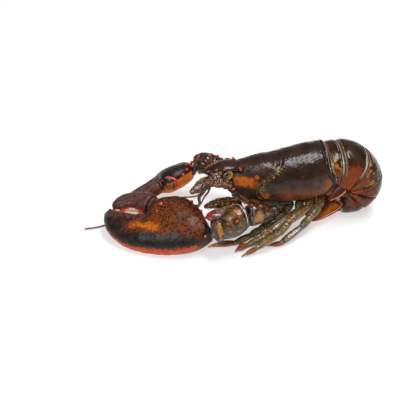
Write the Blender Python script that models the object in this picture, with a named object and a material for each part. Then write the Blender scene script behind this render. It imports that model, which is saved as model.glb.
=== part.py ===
"""A whole lobster lying on its belly with its tail curled under it.

The frame is in metres with +Z up. The head points to -X, the animal's left side to -Y, and the
ground is at z = 0. Sizes below are in millimetres and become metres where a mesh is made.
"""

import math

import bmesh
import bpy
from mathutils import Matrix, Vector

MM = 0.001
JOINT_GAP = 0.5  # clear space between two shell pieces that meet
LOOK_AHEAD = 0.02  # share of a path over which its direction is taken
ORIGIN = Vector((-35.22, 14.73, 0.0))  # the footprint's middle, which becomes the part's origin

# Head and back shell, seen from the side: x runs from the eye socket to the rear edge.
SOCKET_X = -47.0
REAR_X = 49.0
REAR_SKEW = 0.17  # the rear edge lies further back on the right side, as the tail swings to the left
BACK_TOP = ((-50, 69.5), (-38, 71.0), (-12, 73.5), (0, 72.5), (12, 74.0), (35, 76.0), (60, 75.5))
BACK_MIDDLE = ((-50, 55), (-30, 52), (0, 50), (30, 49.5), (60, 52))
BACK_BOTTOM = ((-50, 43), (-34, 35), (-15, 28), (5, 25), (30, 24), (45, 27), (60, 33))
BACK_HALF_WIDTH = ((-50, 14.5), (-38, 18.0), (-20, 22.0), (0, 24.0), (25, 26.0), (45, 25.5), (60, 23))
# How far the breast between the legs hangs under the shell's lower rim.
BREAST_DEPTH = ((-50, -1.5), (-30, -1.5), (-8, 3.0), (8, 6.5), (38, 6.5), (52, 0.0))

# Tail: it curls about this point, seen from the side.
CURL_X, CURL_Z = 69.0, 32.0
TAIL_SWING = math.radians(10)  # how far the tail turns to the animal's left
SWING_X = 50.0  # where it turns
# Angle round the curl (90 is the top, -90 the ground) and how far its back is from the point.
CURL_BACK = ((-90, 33.0), (-45, 36.5), (0, 39.0), (45, 39.5), (90, 42.5))
STRAIGHT_STEP = 0.72  # what one degree over 90 measures along the straight start of the tail
BACK_HEIGHT = 16.5  # from the middle of a ring to its back
BELLY_DEPTH = 8.5  # from the middle to the belly between the side plates
PLATE_TIP_RADIUS = 3.6  # where the side plates of all rings come together
TUCK = 1.8  # how far a ring's front edge draws in, to slip under the ring before it
# Each ring: start and end angle round the curl, and half width at its start and end.
RINGS = (
    (101, 60, 24.2, 24.0),
    (60, 22, 24.0, 23.0),
    (22, -14, 23.0, 22.0),
    (-14, -48, 22.0, 20.8),
    (-48, -90, 20.8, 18.0),
)


def curve_at(table, t):
    """The value at t of a smooth curve through a table of (t, value) pairs, in rising order of t."""
    last = len(table) - 1
    i = 0
    while i < last - 1 and t > table[i + 1][0]:
        i += 1

    def slope(k):
        before, after = max(k - 1, 0), min(k + 1, last)
        return (table[after][1] - table[before][1]) / (table[after][0] - table[before][0])

    (t0, v0), (t1, v1) = table[i], table[i + 1]
    span = t1 - t0
    s = min(max((t - t0) / span, 0.0), 1.0)
    start = v0 * (2 * s**3 - 3 * s**2 + 1) + slope(i) * (span * (s**3 - 2 * s**2 + s))
    end = v1 * (3 * s**2 - 2 * s**3) + slope(i + 1) * (span * (s**3 - s**2))
    return start + end


def signed_power(value, power):
    return math.copysign(abs(value) ** power, value)


def steps(start, end, count):
    """Evenly spaced numbers from start to end, both included."""
    return [start + (end - start) * k / (count - 1) for k in range(count)]


def material(name, colour, roughness):
    made = bpy.data.materials.get(name) or bpy.data.materials.new(name)
    made.use_nodes = True
    shader = made.node_tree.nodes["Principled BSDF"]
    shader.inputs["Base Color"].default_value = (*colour, 1.0)
    shader.inputs["Roughness"].default_value = roughness
    shader.inputs["Metallic"].default_value = 0.0
    return made


def add_object(name, bm, finish):
    """The bmesh as an object in the scene, its points moved from the animal's millimetres."""
    bmesh.ops.translate(bm, vec=-ORIGIN, verts=bm.verts)
    bmesh.ops.scale(bm, vec=(MM, MM, MM), verts=bm.verts)
    bmesh.ops.recalc_face_normals(bm, faces=bm.faces)
    mesh = bpy.data.meshes.new(name)
    bm.to_mesh(mesh)
    bm.free()
    mesh.shade_smooth()
    mesh.set_sharp_from_angle(angle=math.radians(40))
    made = bpy.data.objects.new(name, mesh)
    bpy.context.scene.collection.objects.link(made)
    made.data.materials.append(finish)
    return made


def skin(rings, first=None, last=None):
    """A closed bmesh through rings of points, with a point inside each end ring."""
    bm = bmesh.new()
    rows = [[bm.verts.new(point) for point in ring] for ring in rings]
    count = len(rows[0])
    for near, far in zip(rows, rows[1:]):
        for k in range(count):
            n = (k + 1) % count
            bm.faces.new((near[k], near[n], far[n], far[k]))
    for row, point in ((rows[0], first), (rows[-1], last)):
        if point is None:
            point = sum((v.co for v in row), Vector()) / count
        pole = bm.verts.new(point)
        for k in range(count):
            bm.faces.new((row[k], row[(k + 1) % count], pole))
    return bm


def oval(centre, side, up, half_width, half_height, count, roundness=1.0):
    """A ring of points round centre. Roundness under 1 makes it boxy."""
    ring = []
    for k in range(count):
        angle = math.tau * k / count
        across = half_width * signed_power(math.cos(angle), roundness)
        along = half_height * signed_power(math.sin(angle), roundness)
        ring.append(centre + side * across + up * along)
    return ring


def limb_rings(path, widths, heights, up, count, ring_count, roundness=1.0):
    """Ovals along a smooth path of points, with half widths and heights from tables over 0 to 1."""
    places = [(k / (len(path) - 1), Vector(p)) for k, p in enumerate(path)]
    rings = []
    for t in steps(0.0, 1.0, ring_count):
        ahead = curve_at(places, min(t + LOOK_AHEAD, 1.0)) - curve_at(places, max(t - LOOK_AHEAD, 0.0))
        forward = ahead.normalized()
        side = forward.cross(Vector(up)).normalized()
        over = side.cross(forward)
        size = curve_at(widths, t), curve_at(heights, t)
        rings.append(oval(curve_at(places, t), side, over, *size, count, roundness))
    return rings


def press_flat(bm):
    """Cuts off what reaches below the ground, which leaves a small flat spot to rest on."""
    cut = bmesh.ops.bisect_plane(
        bm,
        geom=bm.verts[:] + bm.edges[:] + bm.faces[:],
        plane_co=(0, 0, 0),
        plane_no=(0, 0, -1),
        clear_outer=True,
    )
    edges = [e for e in cut["geom_cut"] if isinstance(e, bmesh.types.BMEdge)]
    if edges:
        bmesh.ops.contextual_create(bm, geom=edges)
    return bm


def spike(place, direction, length, radius):
    """A cone with its base sunk in the shell at place."""
    bm = bmesh.new()
    turn = Vector(direction).normalized().to_track_quat("Z", "Y").to_matrix().to_4x4()
    bmesh.ops.create_cone(
        bm,
        cap_ends=True,
        segments=6,
        radius1=radius,
        radius2=radius * 0.12,
        depth=length,
        matrix=Matrix.Translation(Vector(place)) @ turn @ Matrix.Translation((0, 0, length * 0.3)),
    )
    return bm


def bead(place, radius, stretch=1.0, direction=(0, 0, 1)):
    """A rounded knob, longer along direction where stretch is over 1."""
    bm = bmesh.new()
    turn = Vector(direction).normalized().to_track_quat("Z", "Y").to_matrix().to_4x4()
    shape = Matrix.Translation(Vector(place)) @ turn @ Matrix.Diagonal((1, 1, stretch, 1))
    bmesh.ops.create_icosphere(bm, subdivisions=1, radius=radius, matrix=shape)
    return bm


def fuse(body, extras):
    """Joins extra closed shapes to a body with one Boolean union on a collection, applied at once."""
    group = bpy.data.collections.new(body.name + " extras")
    bpy.context.scene.collection.children.link(group)
    for k, bm in enumerate(extras):
        extra = add_object(f"{body.name} extra {k}", bm, body.data.materials[0])
        bpy.context.scene.collection.objects.unlink(extra)
        group.objects.link(extra)
    union = body.modifiers.new("union", "BOOLEAN")
    union.operation = "UNION"
    union.operand_type = "COLLECTION"
    union.collection = group
    union.solver = "MANIFOLD"
    bpy.context.view_layer.objects.active = body
    bpy.ops.object.modifier_apply(modifier=union.name)
    for extra in list(group.objects):
        bpy.data.objects.remove(extra)
    bpy.data.collections.remove(group)
    return body


def rear_edge_x(z, y):
    """Where the back shell ends: its sides reach further back than its top and its lower corners."""
    return REAR_X + 8.0 * math.exp(-(((z - 46.5) / 10.5) ** 2)) + REAR_SKEW * y


def front_edge_x(z, _y):
    """Where the back shell starts at height z: its lower front corner slopes back under the head."""
    lean = max(0.0, (60.0 - z) / 32.0)
    return SOCKET_X + 34.0 * lean**1.6


def shell_point(x, turn):
    """The back shell's surface at x and at turn, which is 0 at the top and 1 at the belly."""
    top, middle = curve_at(BACK_TOP, x), curve_at(BACK_MIDDLE, x)
    bottom, half = curve_at(BACK_BOTTOM, x), curve_at(BACK_HALF_WIDTH, x)
    angle = math.pi * turn
    y = half * signed_power(math.sin(angle), 0.9)
    if angle < math.pi / 2:
        z = middle + (top - middle) * math.cos(angle) ** 0.95
    else:
        z = middle - (middle - bottom) * abs(math.cos(angle)) ** 0.85
    return y, z


# Where the shell's outline has points, from its top to its lower rim.
SHELL_TURNS = (0.0, 0.09, 0.18, 0.28, 0.38, 0.48, 0.58, 0.68, 0.76)


def shell_side(share, side):
    """One side of the back shell's outline at share 0 (front edge) to 1 (rear edge)."""
    points = []
    for turn in SHELL_TURNS:
        x = SOCKET_X + (REAR_X - SOCKET_X) * share
        for _ in range(3):  # the edges lean with height, and height depends on x
            y, z = shell_point(x, turn)
            front = front_edge_x(z, side * y)
            x = front + (rear_edge_x(z, side * y) - front) * share
        points.append(Vector((x, side * y, z)))
    rim = points[-1]
    # Inside the shell's lower rim the body is recessed, and the breast hangs between the legs.
    drop = curve_at(BREAST_DEPTH, rim.x)
    points.append(Vector((rim.x, rim.y * 0.86, rim.z + 1.5)))
    points.append(Vector((rim.x, rim.y * 0.46, rim.z + 1.5)))
    points.append(Vector((rim.x, rim.y * 0.34, rim.z - drop)))
    return points


def shell_ring(share):
    """The back shell's whole outline at share, both sides."""
    return shell_side(share, 1) + shell_side(share, -1)[:0:-1]


def closed_end(ring, surface_x, offset, shares=(0.94, 0.6, 0.25)):
    """Rings that close an end of the shell, all lying on the surface x = surface_x(z, y)."""
    middle = sum(ring, Vector()) / len(ring)
    rows = []
    for share in shares:
        row = []
        for p in ring:
            q = middle.lerp(p, share)
            row.append(Vector((surface_x(q.z, q.y) + offset, q.y, q.z)))
        rows.append(row)
    pole = Vector((surface_x(middle.z, middle.y) + offset, middle.y, middle.z))
    return rows, pole


def carapace(finish):
    """Head and back shell in one piece, with the spiked beak between the eyes."""
    rings = [shell_ring(s) for s in (0.0, 0.05, 0.13, 0.22, 0.32, 0.41, 0.46, 0.5, 0.54, 0.62)]
    rings += [shell_ring(s) for s in (0.72, 0.82, 0.9, 0.96, 1.0)]
    front, first = closed_end(rings[0], front_edge_x, 1.5)
    back, last = closed_end(rings[-1], rear_edge_x, -1.0)
    body = add_object("carapace", skin(front[::-1] + rings + back, first, last), finish)

    beak_path = [(-36, 0, 68.8), (-48, 0, 71.4), (-58, 0, 71.2), (-67, 0, 69.8), (-74.5, 0, 69.2)]
    beak_widths = ((0, 10.5), (0.3, 8.2), (0.55, 5.4), (0.8, 2.8), (1, 0.6))
    beak_heights = ((0, 4.0), (0.3, 3.6), (0.55, 2.8), (0.8, 1.9), (1, 0.5))
    beak = skin(limb_rings(beak_path, beak_widths, beak_heights, (0, 0, 1), 8, 8))
    # The mouth region: a keel that hangs below the face between the arms.
    mouth_path = [(-46, 0, 55), (-40, 0, 46), (-28, 0, 36), (-10, 0, 31)]
    mouth = skin(
        limb_rings(mouth_path, ((0, 6), (0.3, 9), (1, 6)), ((0, 6), (0.4, 7), (1, 5)), (1, 0, 0), 8, 6)
    )
    extras = [beak, mouth]
    for side in (-1, 1):
        extras.append(spike((-59, side * 4.6, 71.6), (-1.0, side * 0.45, 0.3), 7.0, 1.5))
        extras.append(spike((-66, side * 2.6, 70.2), (-1.0, side * 0.4, 0.25), 6.0, 1.2))
        extras.append(spike((-52, side * 6.8, 71.8), (-1.0, side * 0.4, 0.4), 6.0, 1.4))
        extras.append(spike((-38, side * 9.3, 69.8), (-0.45, 0, 0.9), 7.6, 1.9))
        extras.append(spike((-46.5, side * 15.8, 55.0), (-1.0, side * 0.3, 0.1), 6.5, 1.7))
    return fuse(body, extras)


def tail_frame(angle):
    """The tail's middle at an angle round its curl, the directions outward and rearward there, and
    how far the middle is from the curl's own centre."""
    a = math.radians(min(angle, 90))
    outward = Vector((math.cos(a), 0, math.sin(a)))
    along = Vector((math.sin(a), 0, -math.cos(a)))
    radius = curve_at(CURL_BACK, min(angle, 90)) - BACK_HEIGHT
    centre = Vector((CURL_X - max(0, angle - 90) * STRAIGHT_STEP, 0, CURL_Z))
    return centre + outward * radius, outward, along, radius


def swing(p):
    """A point of the tail after the tail is turned to the animal's left."""
    x, y = p.x - SWING_X, p.y
    c, n = math.cos(TAIL_SWING), math.sin(TAIL_SWING)
    return Vector((SWING_X + x * c + y * n, y * c - x * n, p.z))


def ring_section(angle, half_width, top, plate_depth, shift=0.0):
    """One tail ring's closed outline at an angle: the arched back, both side plates and the belly."""
    middle, outward, along, _ = tail_frame(angle)
    half = [
        (half_width * math.sin(a), top * math.cos(a) ** 0.9)
        for a in (math.radians(d) for d in (0, 18, 36, 54, 70, 84))
    ]
    half += [
        (half_width, -plate_depth * 0.3),
        (half_width * 0.96, -plate_depth * 0.68),
        (half_width * 0.88, -plate_depth),
        (half_width * 0.8, -max(plate_depth * 0.8, BELLY_DEPTH)),
        (half_width * 0.5, -BELLY_DEPTH),
    ]
    middle = middle + along * shift
    points = [middle + Vector((0, y, 0)) + outward * h for y, h in half]
    points.append(middle - outward * BELLY_DEPTH)
    points += [middle + Vector((0, -y, 0)) + outward * h for y, h in reversed(half[1:])]
    return [swing(p) for p in points]


def tail_ring(name, ring, finish):
    """One ring of the tail: an arched plate that is tucked in at its front edge and flared at its rear,
    with side plates that come to a point towards the middle of the curl."""
    start, end, first_half_width, last_half_width = ring
    rings = []
    for share in (0.0, 0.08, 0.22, 0.5, 0.78, 0.94, 1.0):
        angle = start + (end - start) * share
        tucked = TUCK * max(0.0, 1 - share / 0.22) ** 1.5
        half_width = first_half_width + (last_half_width - first_half_width) * share - tucked
        reach = tail_frame(angle)[3] - PLATE_TIP_RADIUS
        depth = reach * (0.66 + 0.34 * math.sin(math.pi * (0.2 + 0.6 * share)))
        gap = JOINT_GAP * (0.5 - share)
        rings.append(ring_section(angle, half_width, BACK_HEIGHT - tucked, depth, gap))
    return add_object(name, press_flat(skin(rings)), finish)


def first_tail_ring(finish):
    """The short first ring, between the back shell's rear edge and the start of the curl."""
    rings = []
    for share in (0.0, 0.12, 0.5, 0.9, 1.0):
        tucked = TUCK * max(0.0, 1 - share / 0.3) + 0.4
        depth = 12.0 + 3.0 * share
        points = ring_section(RINGS[0][0], 24.6 - tucked, BACK_HEIGHT - tucked, depth, -JOINT_GAP / 2)
        row = []
        for p in points:
            front = Vector((rear_edge_x(p.z, p.y) + JOINT_GAP + 0.5, p.y, p.z))
            row.append(front.lerp(p, share))
        rings.append(row)
    front, first = closed_end(rings[0], rear_edge_x, JOINT_GAP + 0.5, (0.6, 0.25))
    return add_object("tail_ring_1", skin(front[::-1] + rings, first), finish)


def fan_blade(name, path, widths, thickness, finish):
    """One blade of the tail fan, folded forward flat under the belly."""
    heights = ((0, thickness), (0.5, thickness * 0.9), (1, thickness * 0.45))
    turned = [swing(Vector(p)) for p in path]
    rings = limb_rings(turned, widths, heights, (0, 0, 1), 12, 7, 0.8)
    return add_object(name, press_flat(skin(rings)), finish)


def tail_fan(finish):
    """The middle blade on the ground, and an inner and an outer blade over it on each side."""
    fan_blade(
        "telson",
        [(67.9, 0, 3.6), (57, 0, 2.2), (43, 0, 1.7), (33, 0, 1.7)],
        ((0, 9.0), (0.4, 10.0), (0.85, 8.5), (1, 5.0)),
        2.0,
        finish,
    )
    for side, word in ((-1, "left"), (1, "right")):
        fan_blade(
            f"fan_inner_{word}",
            [(67.6, side * 7, 8.8), (57, side * 9.5, 6.8), (44, side * 11.0, 6.0), (33, side * 12, 5.8)],
            ((0, 4.0), (0.35, 7.0), (0.8, 7.5), (1, 4.5)),
            1.5,
            finish,
        )
        fan_blade(
            f"fan_outer_{word}",
            [(67.4, side * 10, 13.4), (58, side * 13.5, 11.2), (46, side * 16, 10.2), (36, side * 17.5, 10)],
            ((0, 3.5), (0.35, 6.5), (0.8, 7.5), (1, 4.5)),
            1.4,
            finish,
        )


def swimmerets(finish):
    """The foremost pair of small paddles under the tail, which show behind the last legs."""
    sizes = ((0, 2.0), (0.45, 4.6), (1, 1.0)), ((0, 1.1), (0.5, 1.3), (1, 0.7))
    for side, word in ((-1, "left"), (1, "right")):
        path = [(63, side * 12.5, 37), (57, side * 13, 32), (51.5, side * 13, 26.5)]
        rings = limb_rings([swing(Vector(p)) for p in path], sizes[1], sizes[0], (0, 0, 1), 8, 7)
        add_object(f"swimmeret_{word}", skin(rings), finish)


def claw_frame(wrist, tip, tilt, side):
    """Directions along the claw, towards its inner edge, and out of its upper face."""
    along = (Vector(tip) - Vector(wrist)).normalized()
    level = (Vector((0, 0, 1)) - along * along.z).normalized()
    inner = level.cross(along) * side
    c, s = math.cos(math.radians(tilt)), math.sin(math.radians(tilt))
    return along, inner * c + level * s, level * c - inner * s


# The palm with its fixed finger, in shares of the claw's length: the outer edge, the inner edge
# (which steps down to the cutting edge at the hinge), and half the thickness.
CLAW_OUTER = ((0, -0.09), (0.05, -0.16), (0.17, -0.24), (0.38, -0.292), (0.56, -0.297), (0.7, -0.276))
CLAW_OUTER += ((0.84, -0.215), (0.94, -0.13), (0.985, -0.05), (1.0, 0.02))
CLAW_INNER = ((0, -0.02), (0.06, 0.06), (0.15, 0.175), (0.26, 0.255), (0.38, 0.285), (0.5, 0.26))
CLAW_INNER += ((0.535, 0.235), (0.565, 0.13), (0.6, 0.045), (0.66, 0.03), (0.85, 0.045), (1.0, 0.075))
CLAW_HALF_THICKNESS = ((0, 0.085), (0.1, 0.13), (0.3, 0.165), (0.52, 0.158), (0.64, 0.125), (0.82, 0.1))
CLAW_HALF_THICKNESS += ((0.94, 0.068), (1.0, 0.022))
# How far round from the inner edge towards the upper face the palm's row of beads lies.
BEAD_RISE = {"left": math.radians(10), "right": math.radians(38)}
HINGE = 0.56  # where the finger's hinge is in these tables
TOOTH_CLAW = 108.0  # length of the claw for which the teeth's sizes below are given
# The moving finger: its middle line, half width and half thickness, in the same shares.
FINGER_LINE = ((0.575, 0.165), (0.66, 0.192), (0.77, 0.2), (0.88, 0.173), (0.945, 0.128), (0.972, 0.086))
FINGER_WIDTHS = ((0, 0.075), (0.12, 0.085), (0.4, 0.068), (0.7, 0.055), (0.9, 0.036), (1, 0.01))
FINGER_HEIGHTS = ((0, 0.09), (0.12, 0.112), (0.4, 0.095), (0.7, 0.07), (0.9, 0.042), (1, 0.012))


class Claw:
    """The measures of one claw: where it lies, how broad and thick its form is, and the share of
    its length that the palm takes up to the hinge."""

    def __init__(self, word, side, wrist, tip, tilt, breadth, thickness, palm):
        self.word = word
        self.side = side
        self.wrist = Vector(wrist)
        self.length = (Vector(tip) - self.wrist).length
        self.breadth = breadth
        self.thickness = thickness
        self.palm = palm
        self.along, self.inner, self.out = claw_frame(wrist, tip, tilt, side)

    def place(self, along, inner, out=0.0):
        """A point given in shares of the claw's length, in the tables' proportions."""
        if along < HINGE:
            along *= self.palm / HINGE
        else:
            along = 1 - (1 - along) * (1 - self.palm) / (1 - HINGE)
        reach = self.along * along + self.inner * (inner * self.breadth)
        return self.wrist + (reach + self.out * (out * self.thickness)) * self.length


def claw_palm(claw, finish):
    """Palm and fixed finger, with beads along the inner edge and blunt teeth along the cutting edge."""
    shares = (0, 0.04, 0.1, 0.18, 0.28, 0.38, 0.47, 0.525, 0.55, 0.575, 0.61, 0.67, 0.75, 0.83, 0.9)
    rings = []
    for t in shares + (0.95, 0.985, 1.0):
        outer, inner = curve_at(CLAW_OUTER, t), curve_at(CLAW_INNER, t)
        half = curve_at(CLAW_HALF_THICKNESS, t)
        middle = claw.place(t, (outer + inner) / 2)
        across = claw.inner * ((inner - outer) / 2 * claw.breadth * claw.length)
        deep = claw.out * (half * claw.thickness * claw.length)
        rings.append(oval(middle, across, deep, 1, 1, 18))
    body = add_object(f"claw_{claw.word}", press_flat(skin(rings)), finish)
    extras = []
    rise = BEAD_RISE[claw.word]
    for t in (0.1, 0.17, 0.25, 0.34, 0.43):
        outer, inner = curve_at(CLAW_OUTER, t), curve_at(CLAW_INNER, t)
        edge = (outer + inner) / 2 + (inner - outer) / 2 * math.cos(rise)
        place = claw.place(t, edge - 0.008, curve_at(CLAW_HALF_THICKNESS, t) * math.sin(rise))
        lean = claw.inner * math.cos(rise) + claw.out * math.sin(rise) - claw.along * 0.3
        extras.append(bead(place, 1.7, 1.5, lean))
    for t, size in ((0.66, 2.6), (0.74, 2.9), (0.82, 2.1), (0.885, 1.8), (0.94, 1.5)):
        size *= claw.length / TOOTH_CLAW * min(1.0, claw.breadth + 0.1)
        place = claw.place(t, curve_at(CLAW_INNER, t) - 0.006)
        extras.append(bead(place, size, 0.8, claw.inner))
    return fuse(body, extras)


def claw_finger(claw, finish):
    """The moving finger, hinged on the palm's inner side and curved in to the fixed finger's tip."""
    line = [(k / (len(FINGER_LINE) - 1), claw.place(*p)) for k, p in enumerate(FINGER_LINE)]
    rings = []
    for t in (0, 0.06, 0.15, 0.3, 0.45, 0.6, 0.75, 0.88, 0.96, 1.0):
        ahead = curve_at(line, min(t + LOOK_AHEAD, 1.0)) - curve_at(line, max(t - LOOK_AHEAD, 0.0))
        across = ahead.cross(claw.out).normalized()
        half_width = curve_at(FINGER_WIDTHS, t) * claw.breadth * claw.length
        half_height = curve_at(FINGER_HEIGHTS, t) * claw.thickness * claw.length
        rings.append(oval(curve_at(line, t), across, claw.out, half_width, half_height, 14))
    body = add_object(f"finger_{claw.word}", skin(rings), finish)
    extras = []
    for t, size in ((0.3, 2.3), (0.47, 2.5), (0.63, 1.9), (0.78, 1.4)):
        edge = curve_at(FINGER_WIDTHS, t) * claw.breadth * claw.length
        size *= claw.length / TOOTH_CLAW * min(1.0, claw.breadth + 0.1)
        extras.append(bead(curve_at(line, t) - claw.inner * (edge - 0.4), size, 0.7, -claw.inner))
    return fuse(body, extras)


def arm_piece(name, path, widths, heights, up, finish, beads=()):
    """One thick arm piece between two joints, with a row of beads where it has them."""
    rings = limb_rings(path, widths, heights, up, 14, 9, 0.95)
    body = add_object(name, press_flat(skin(rings)), finish)
    if not beads:
        return body
    extras = [bead(place, 1.6, 1.5, direction) for place, direction in beads]
    return fuse(body, extras)


def left_arm(finish):
    """The near arm: it comes out under the back shell and folds forward along the head."""
    arm_piece(
        "arm_base_left",
        [(3, -10, 27), (-1, -15.5, 26), (-4.6, -19.2, 25.6)],
        ((0, 4.5), (0.5, 5.2), (1, 4.6)),
        ((0, 4.5), (0.5, 5.2), (1, 4.6)),
        (0, 0, 1),
        finish,
    )
    arm_piece(
        "arm_upper_left",
        [(-6.5, -21.0, 25), (-17, -25.5, 27.5), (-28, -28.5, 31), (-38.0, -29.5, 32.5)],
        ((0, 4.5), (0.3, 6.5), (0.8, 9.0), (1, 8.0)),
        ((0, 4.8), (0.3, 7.2), (0.8, 10.5), (1, 9.5)),
        (0, 0, 1),
        finish,
        [((-26, -30, 41.0), (-0.5, 0, 1)), ((-20, -34.0, 33), (-0.4, -1, 0.6))],
    )
    arm_piece(
        "arm_wrist_left",
        [(-41.0, -29.8, 33), (-48.8, -30.8, 32), (-57.5, -28.5, 27.5), (-67.5, -23.5, 20.5)],
        ((0, 9.5), (0.2, 12.5), (0.6, 15.0), (0.85, 13.5), (1, 9.0)),
        ((0, 10), (0.2, 13.0), (0.6, 14.5), (0.85, 12.5), (1, 8.5)),
        (0, 0, 1),
        finish,
        [
            ((-50, -23.0, 43.0), (-0.4, 0.5, 1)),
            ((-57, -20.5, 39.0), (-0.4, 0.5, 1)),
            ((-46, -33.0, 44.5), (0, -0.3, 1)),
            ((-57, -31, 42.0), (-0.2, -0.4, 1)),
            ((-53, -42.0, 38.0), (0, -1, 0.7)),
            ((-60, -39.5, 31.5), (-0.3, -1, 0.5)),
        ],
    )


def right_arm(finish):
    """The far arm: it reaches out to the side before it turns forward."""
    arm_piece(
        "arm_base_right",
        [(3, 10, 27), (-1, 15.5, 26), (-6, 21.0, 26.5)],
        ((0, 4.5), (0.5, 5.2), (1, 4.8)),
        ((0, 4.5), (0.5, 5.2), (1, 4.8)),
        (0, 0, 1),
        finish,
    )
    arm_piece(
        "arm_upper_right",
        [(-7.2, 22.5, 27), (-16, 33, 30.5), (-25, 44, 34.5), (-32, 52.5, 36)],
        ((0, 4.6), (0.3, 6.8), (0.8, 8.5), (1, 7.5)),
        ((0, 5), (0.3, 7.5), (0.8, 9.5), (1, 8.5)),
        (0, 0, 1),
        finish,
        [((-20, 38, 41.5), (0, -0.3, 1)), ((-28, 47, 45.0), (0, -0.3, 1))],
    )
    arm_piece(
        "arm_wrist_right",
        [(-34.3, 54.6, 36), (-41.5, 59, 36.5), (-50, 61.5, 36), (-58.3, 61.9, 33)],
        ((0, 8.0), (0.3, 10.5), (0.7, 11.5), (1, 8.0)),
        ((0, 8), (0.3, 11.0), (0.7, 11.5), (1, 8.0)),
        (0, 0, 1),
        finish,
        [((-38, 56, 46.0), (0, -0.3, 1)), ((-46, 58, 47), (-0.4, -0.3, 1))],
    )


# Walking legs: root, hip, knee, wrist, ankle and toe of each leg on the left side.
LEFT_LEGS = (
    (
        (14, -8.5, 23), (6.7, -15.1, 18), (-23.9, -28.3, 13),
        (-34.4, -30.6, 9.5), (-51, -32.6, 6), (-75, -27, 3.5),
    ),
    (
        (23, -9, 24), (18.3, -18.6, 19), (-19.9, -37.4, 13.5),
        (-26.8, -37.9, 10), (-41, -38.4, 5), (-53, -39.8, 2),
    ),
    (
        (33, -9, 25), (27.0, -21.6, 23), (2.2, -36.6, 23),
        (-12.2, -43.6, 15), (-34.5, -46.5, 6.5), (-49.6, -48, 1.5),
    ),
    (
        (45, -9, 24), (40, -18.5, 20), (26.5, -28.6, 16.5),
        (15.4, -34, 10.5), (-9.4, -43.8, 4), (-21, -40.3, 1.5),
    ),
)
# On the far side the legs are folded under the body, out of sight of the near side.
RIGHT_LEGS = (
    ((14, 8.5, 23), (7, 16, 18.5), (-8, 37, 19), (-14, 43, 14), (-20, 46, 7), (-26, 40, 2.5)),
    ((23, 9, 24), (18, 19, 20.5), (8, 41, 20), (2, 48, 13), (-4, 52, 6), (-12, 49, 2)),
    ((32, 9, 25), (29, 21, 22), (22, 43, 21), (17, 51, 13), (12, 55, 6), (5, 54, 1.7)),
    ((44, 9, 25), (42, 18, 22), (36, 41, 18), (31, 48, 11), (25, 53, 5), (17, 53, 1.5)),
)
LEG_JOINT = 1.7  # from a joint to the rings on both sides of it
# Half thickness of each leg piece, near its start, in the middle and near its end.
LEG_PIECES = ((4.0, 4.4, 3.6), (3.6, 4.2, 3.6), (3.4, 3.9, 3.3), (3.0, 3.5, 2.8), (2.4, 2.2, 0.5))


def leg_rings(joints, count):
    """Rings for a leg of straight pieces that narrow at every joint."""
    points = [Vector(p) for p in joints]
    directions = [(b - a).normalized() for a, b in zip(points, points[1:])]
    rings = []
    for k, (near, middle, far) in enumerate(LEG_PIECES):
        start, end, forward = points[k], points[k + 1], directions[k]
        before, after = directions[max(k - 1, 0)], directions[min(k + 1, len(directions) - 1)]
        clear = 0.0 if k == 0 else LEG_JOINT
        short = 0.0 if k == len(LEG_PIECES) - 1 else LEG_JOINT
        for place, thick, aim in (
            (start + forward * clear, near, forward * 2 + before),
            (start.lerp(end, 0.5), middle, forward),
            (end - forward * short, far, forward * 2 + after),
        ):
            aim = aim.normalized()
            side = aim.cross(Vector((0, 0, 1))).normalized()
            rings.append(oval(place, side, side.cross(aim), thick * 0.92, thick, count))
    return rings


def leg(name, joints, pincer, count, finish):
    """A walking leg as one solid, narrow at its joints. The first two pairs end in small pincers."""
    body = add_object(name, press_flat(skin(leg_rings(joints, count))), finish)
    if not pincer:
        return body
    toe, ankle = Vector(joints[-1]), Vector(joints[-2])
    forward = (toe - ankle).normalized()
    side = forward.cross(Vector((0, 0, 1))).normalized()
    path = [ankle, ankle.lerp(toe, 0.4) + side * 3.4, ankle.lerp(toe, 0.9) + side * 1.6]
    sizes = ((0, 2.2), (0.5, 1.7), (1, 0.4))
    thumb = limb_rings(path, sizes, sizes, (0, 0, 1), 6, 5)
    return fuse(body, [press_flat(skin(thumb))])


def legs(finish):
    for word, side_legs, count in (("left", LEFT_LEGS, 8), ("right", RIGHT_LEGS, 6)):
        for k, joints in enumerate(side_legs):
            leg(f"leg_{word}_{k + 1}", joints, k < 2, count, finish)


def eyes(finish):
    """A round eye on a short stalk in each socket under the beak."""
    for side, word in ((-1, "left"), (1, "right")):
        stalk_path = [(-48.6, side * 8.6, 65.2), (-50.5, side * 9, 66.2), (-52.5, side * 9.4, 67.0)]
        widths = ((0, 2.0), (0.5, 2.4), (1, 2.8))
        stalk = add_object(
            f"eye_{word}", skin(limb_rings(stalk_path, widths, widths, (0, 0, 1), 8, 3)), finish
        )
        ball = bmesh.new()
        bmesh.ops.create_uvsphere(
            ball,
            u_segments=10,
            v_segments=6,
            radius=3.4,
            matrix=Matrix.Translation((-53.5, side * 9.5, 67.5)),
        )
        fuse(stalk, [ball])


def feeler(name, path, widths, count, rings, finish):
    """A round tapered rod along a path."""
    rod = skin(limb_rings(path, widths, widths, (0, 0, 1), count, rings))
    return add_object(name, press_flat(rod), finish)


# The short feelers hang from under the beak, the left one over the near claw's edge.
SHORT_FEELERS = {
    "left": [(-53, -3.5, 58.5), (-60, -2.5, 56), (-67, -0.5, 50.5), (-77, 3.2, 41.3), (-89, 12, 36.5)],
    "right": [(-53, 4, 60), (-60, 3, 58.5), (-66, 0.5, 46), (-69.5, 2.5, 39), (-73, 1, 33)],
}
MOUTH_LEG_DROP = {"left": 0.0, "right": 6.0}  # the far one lies lower, behind the near one


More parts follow.
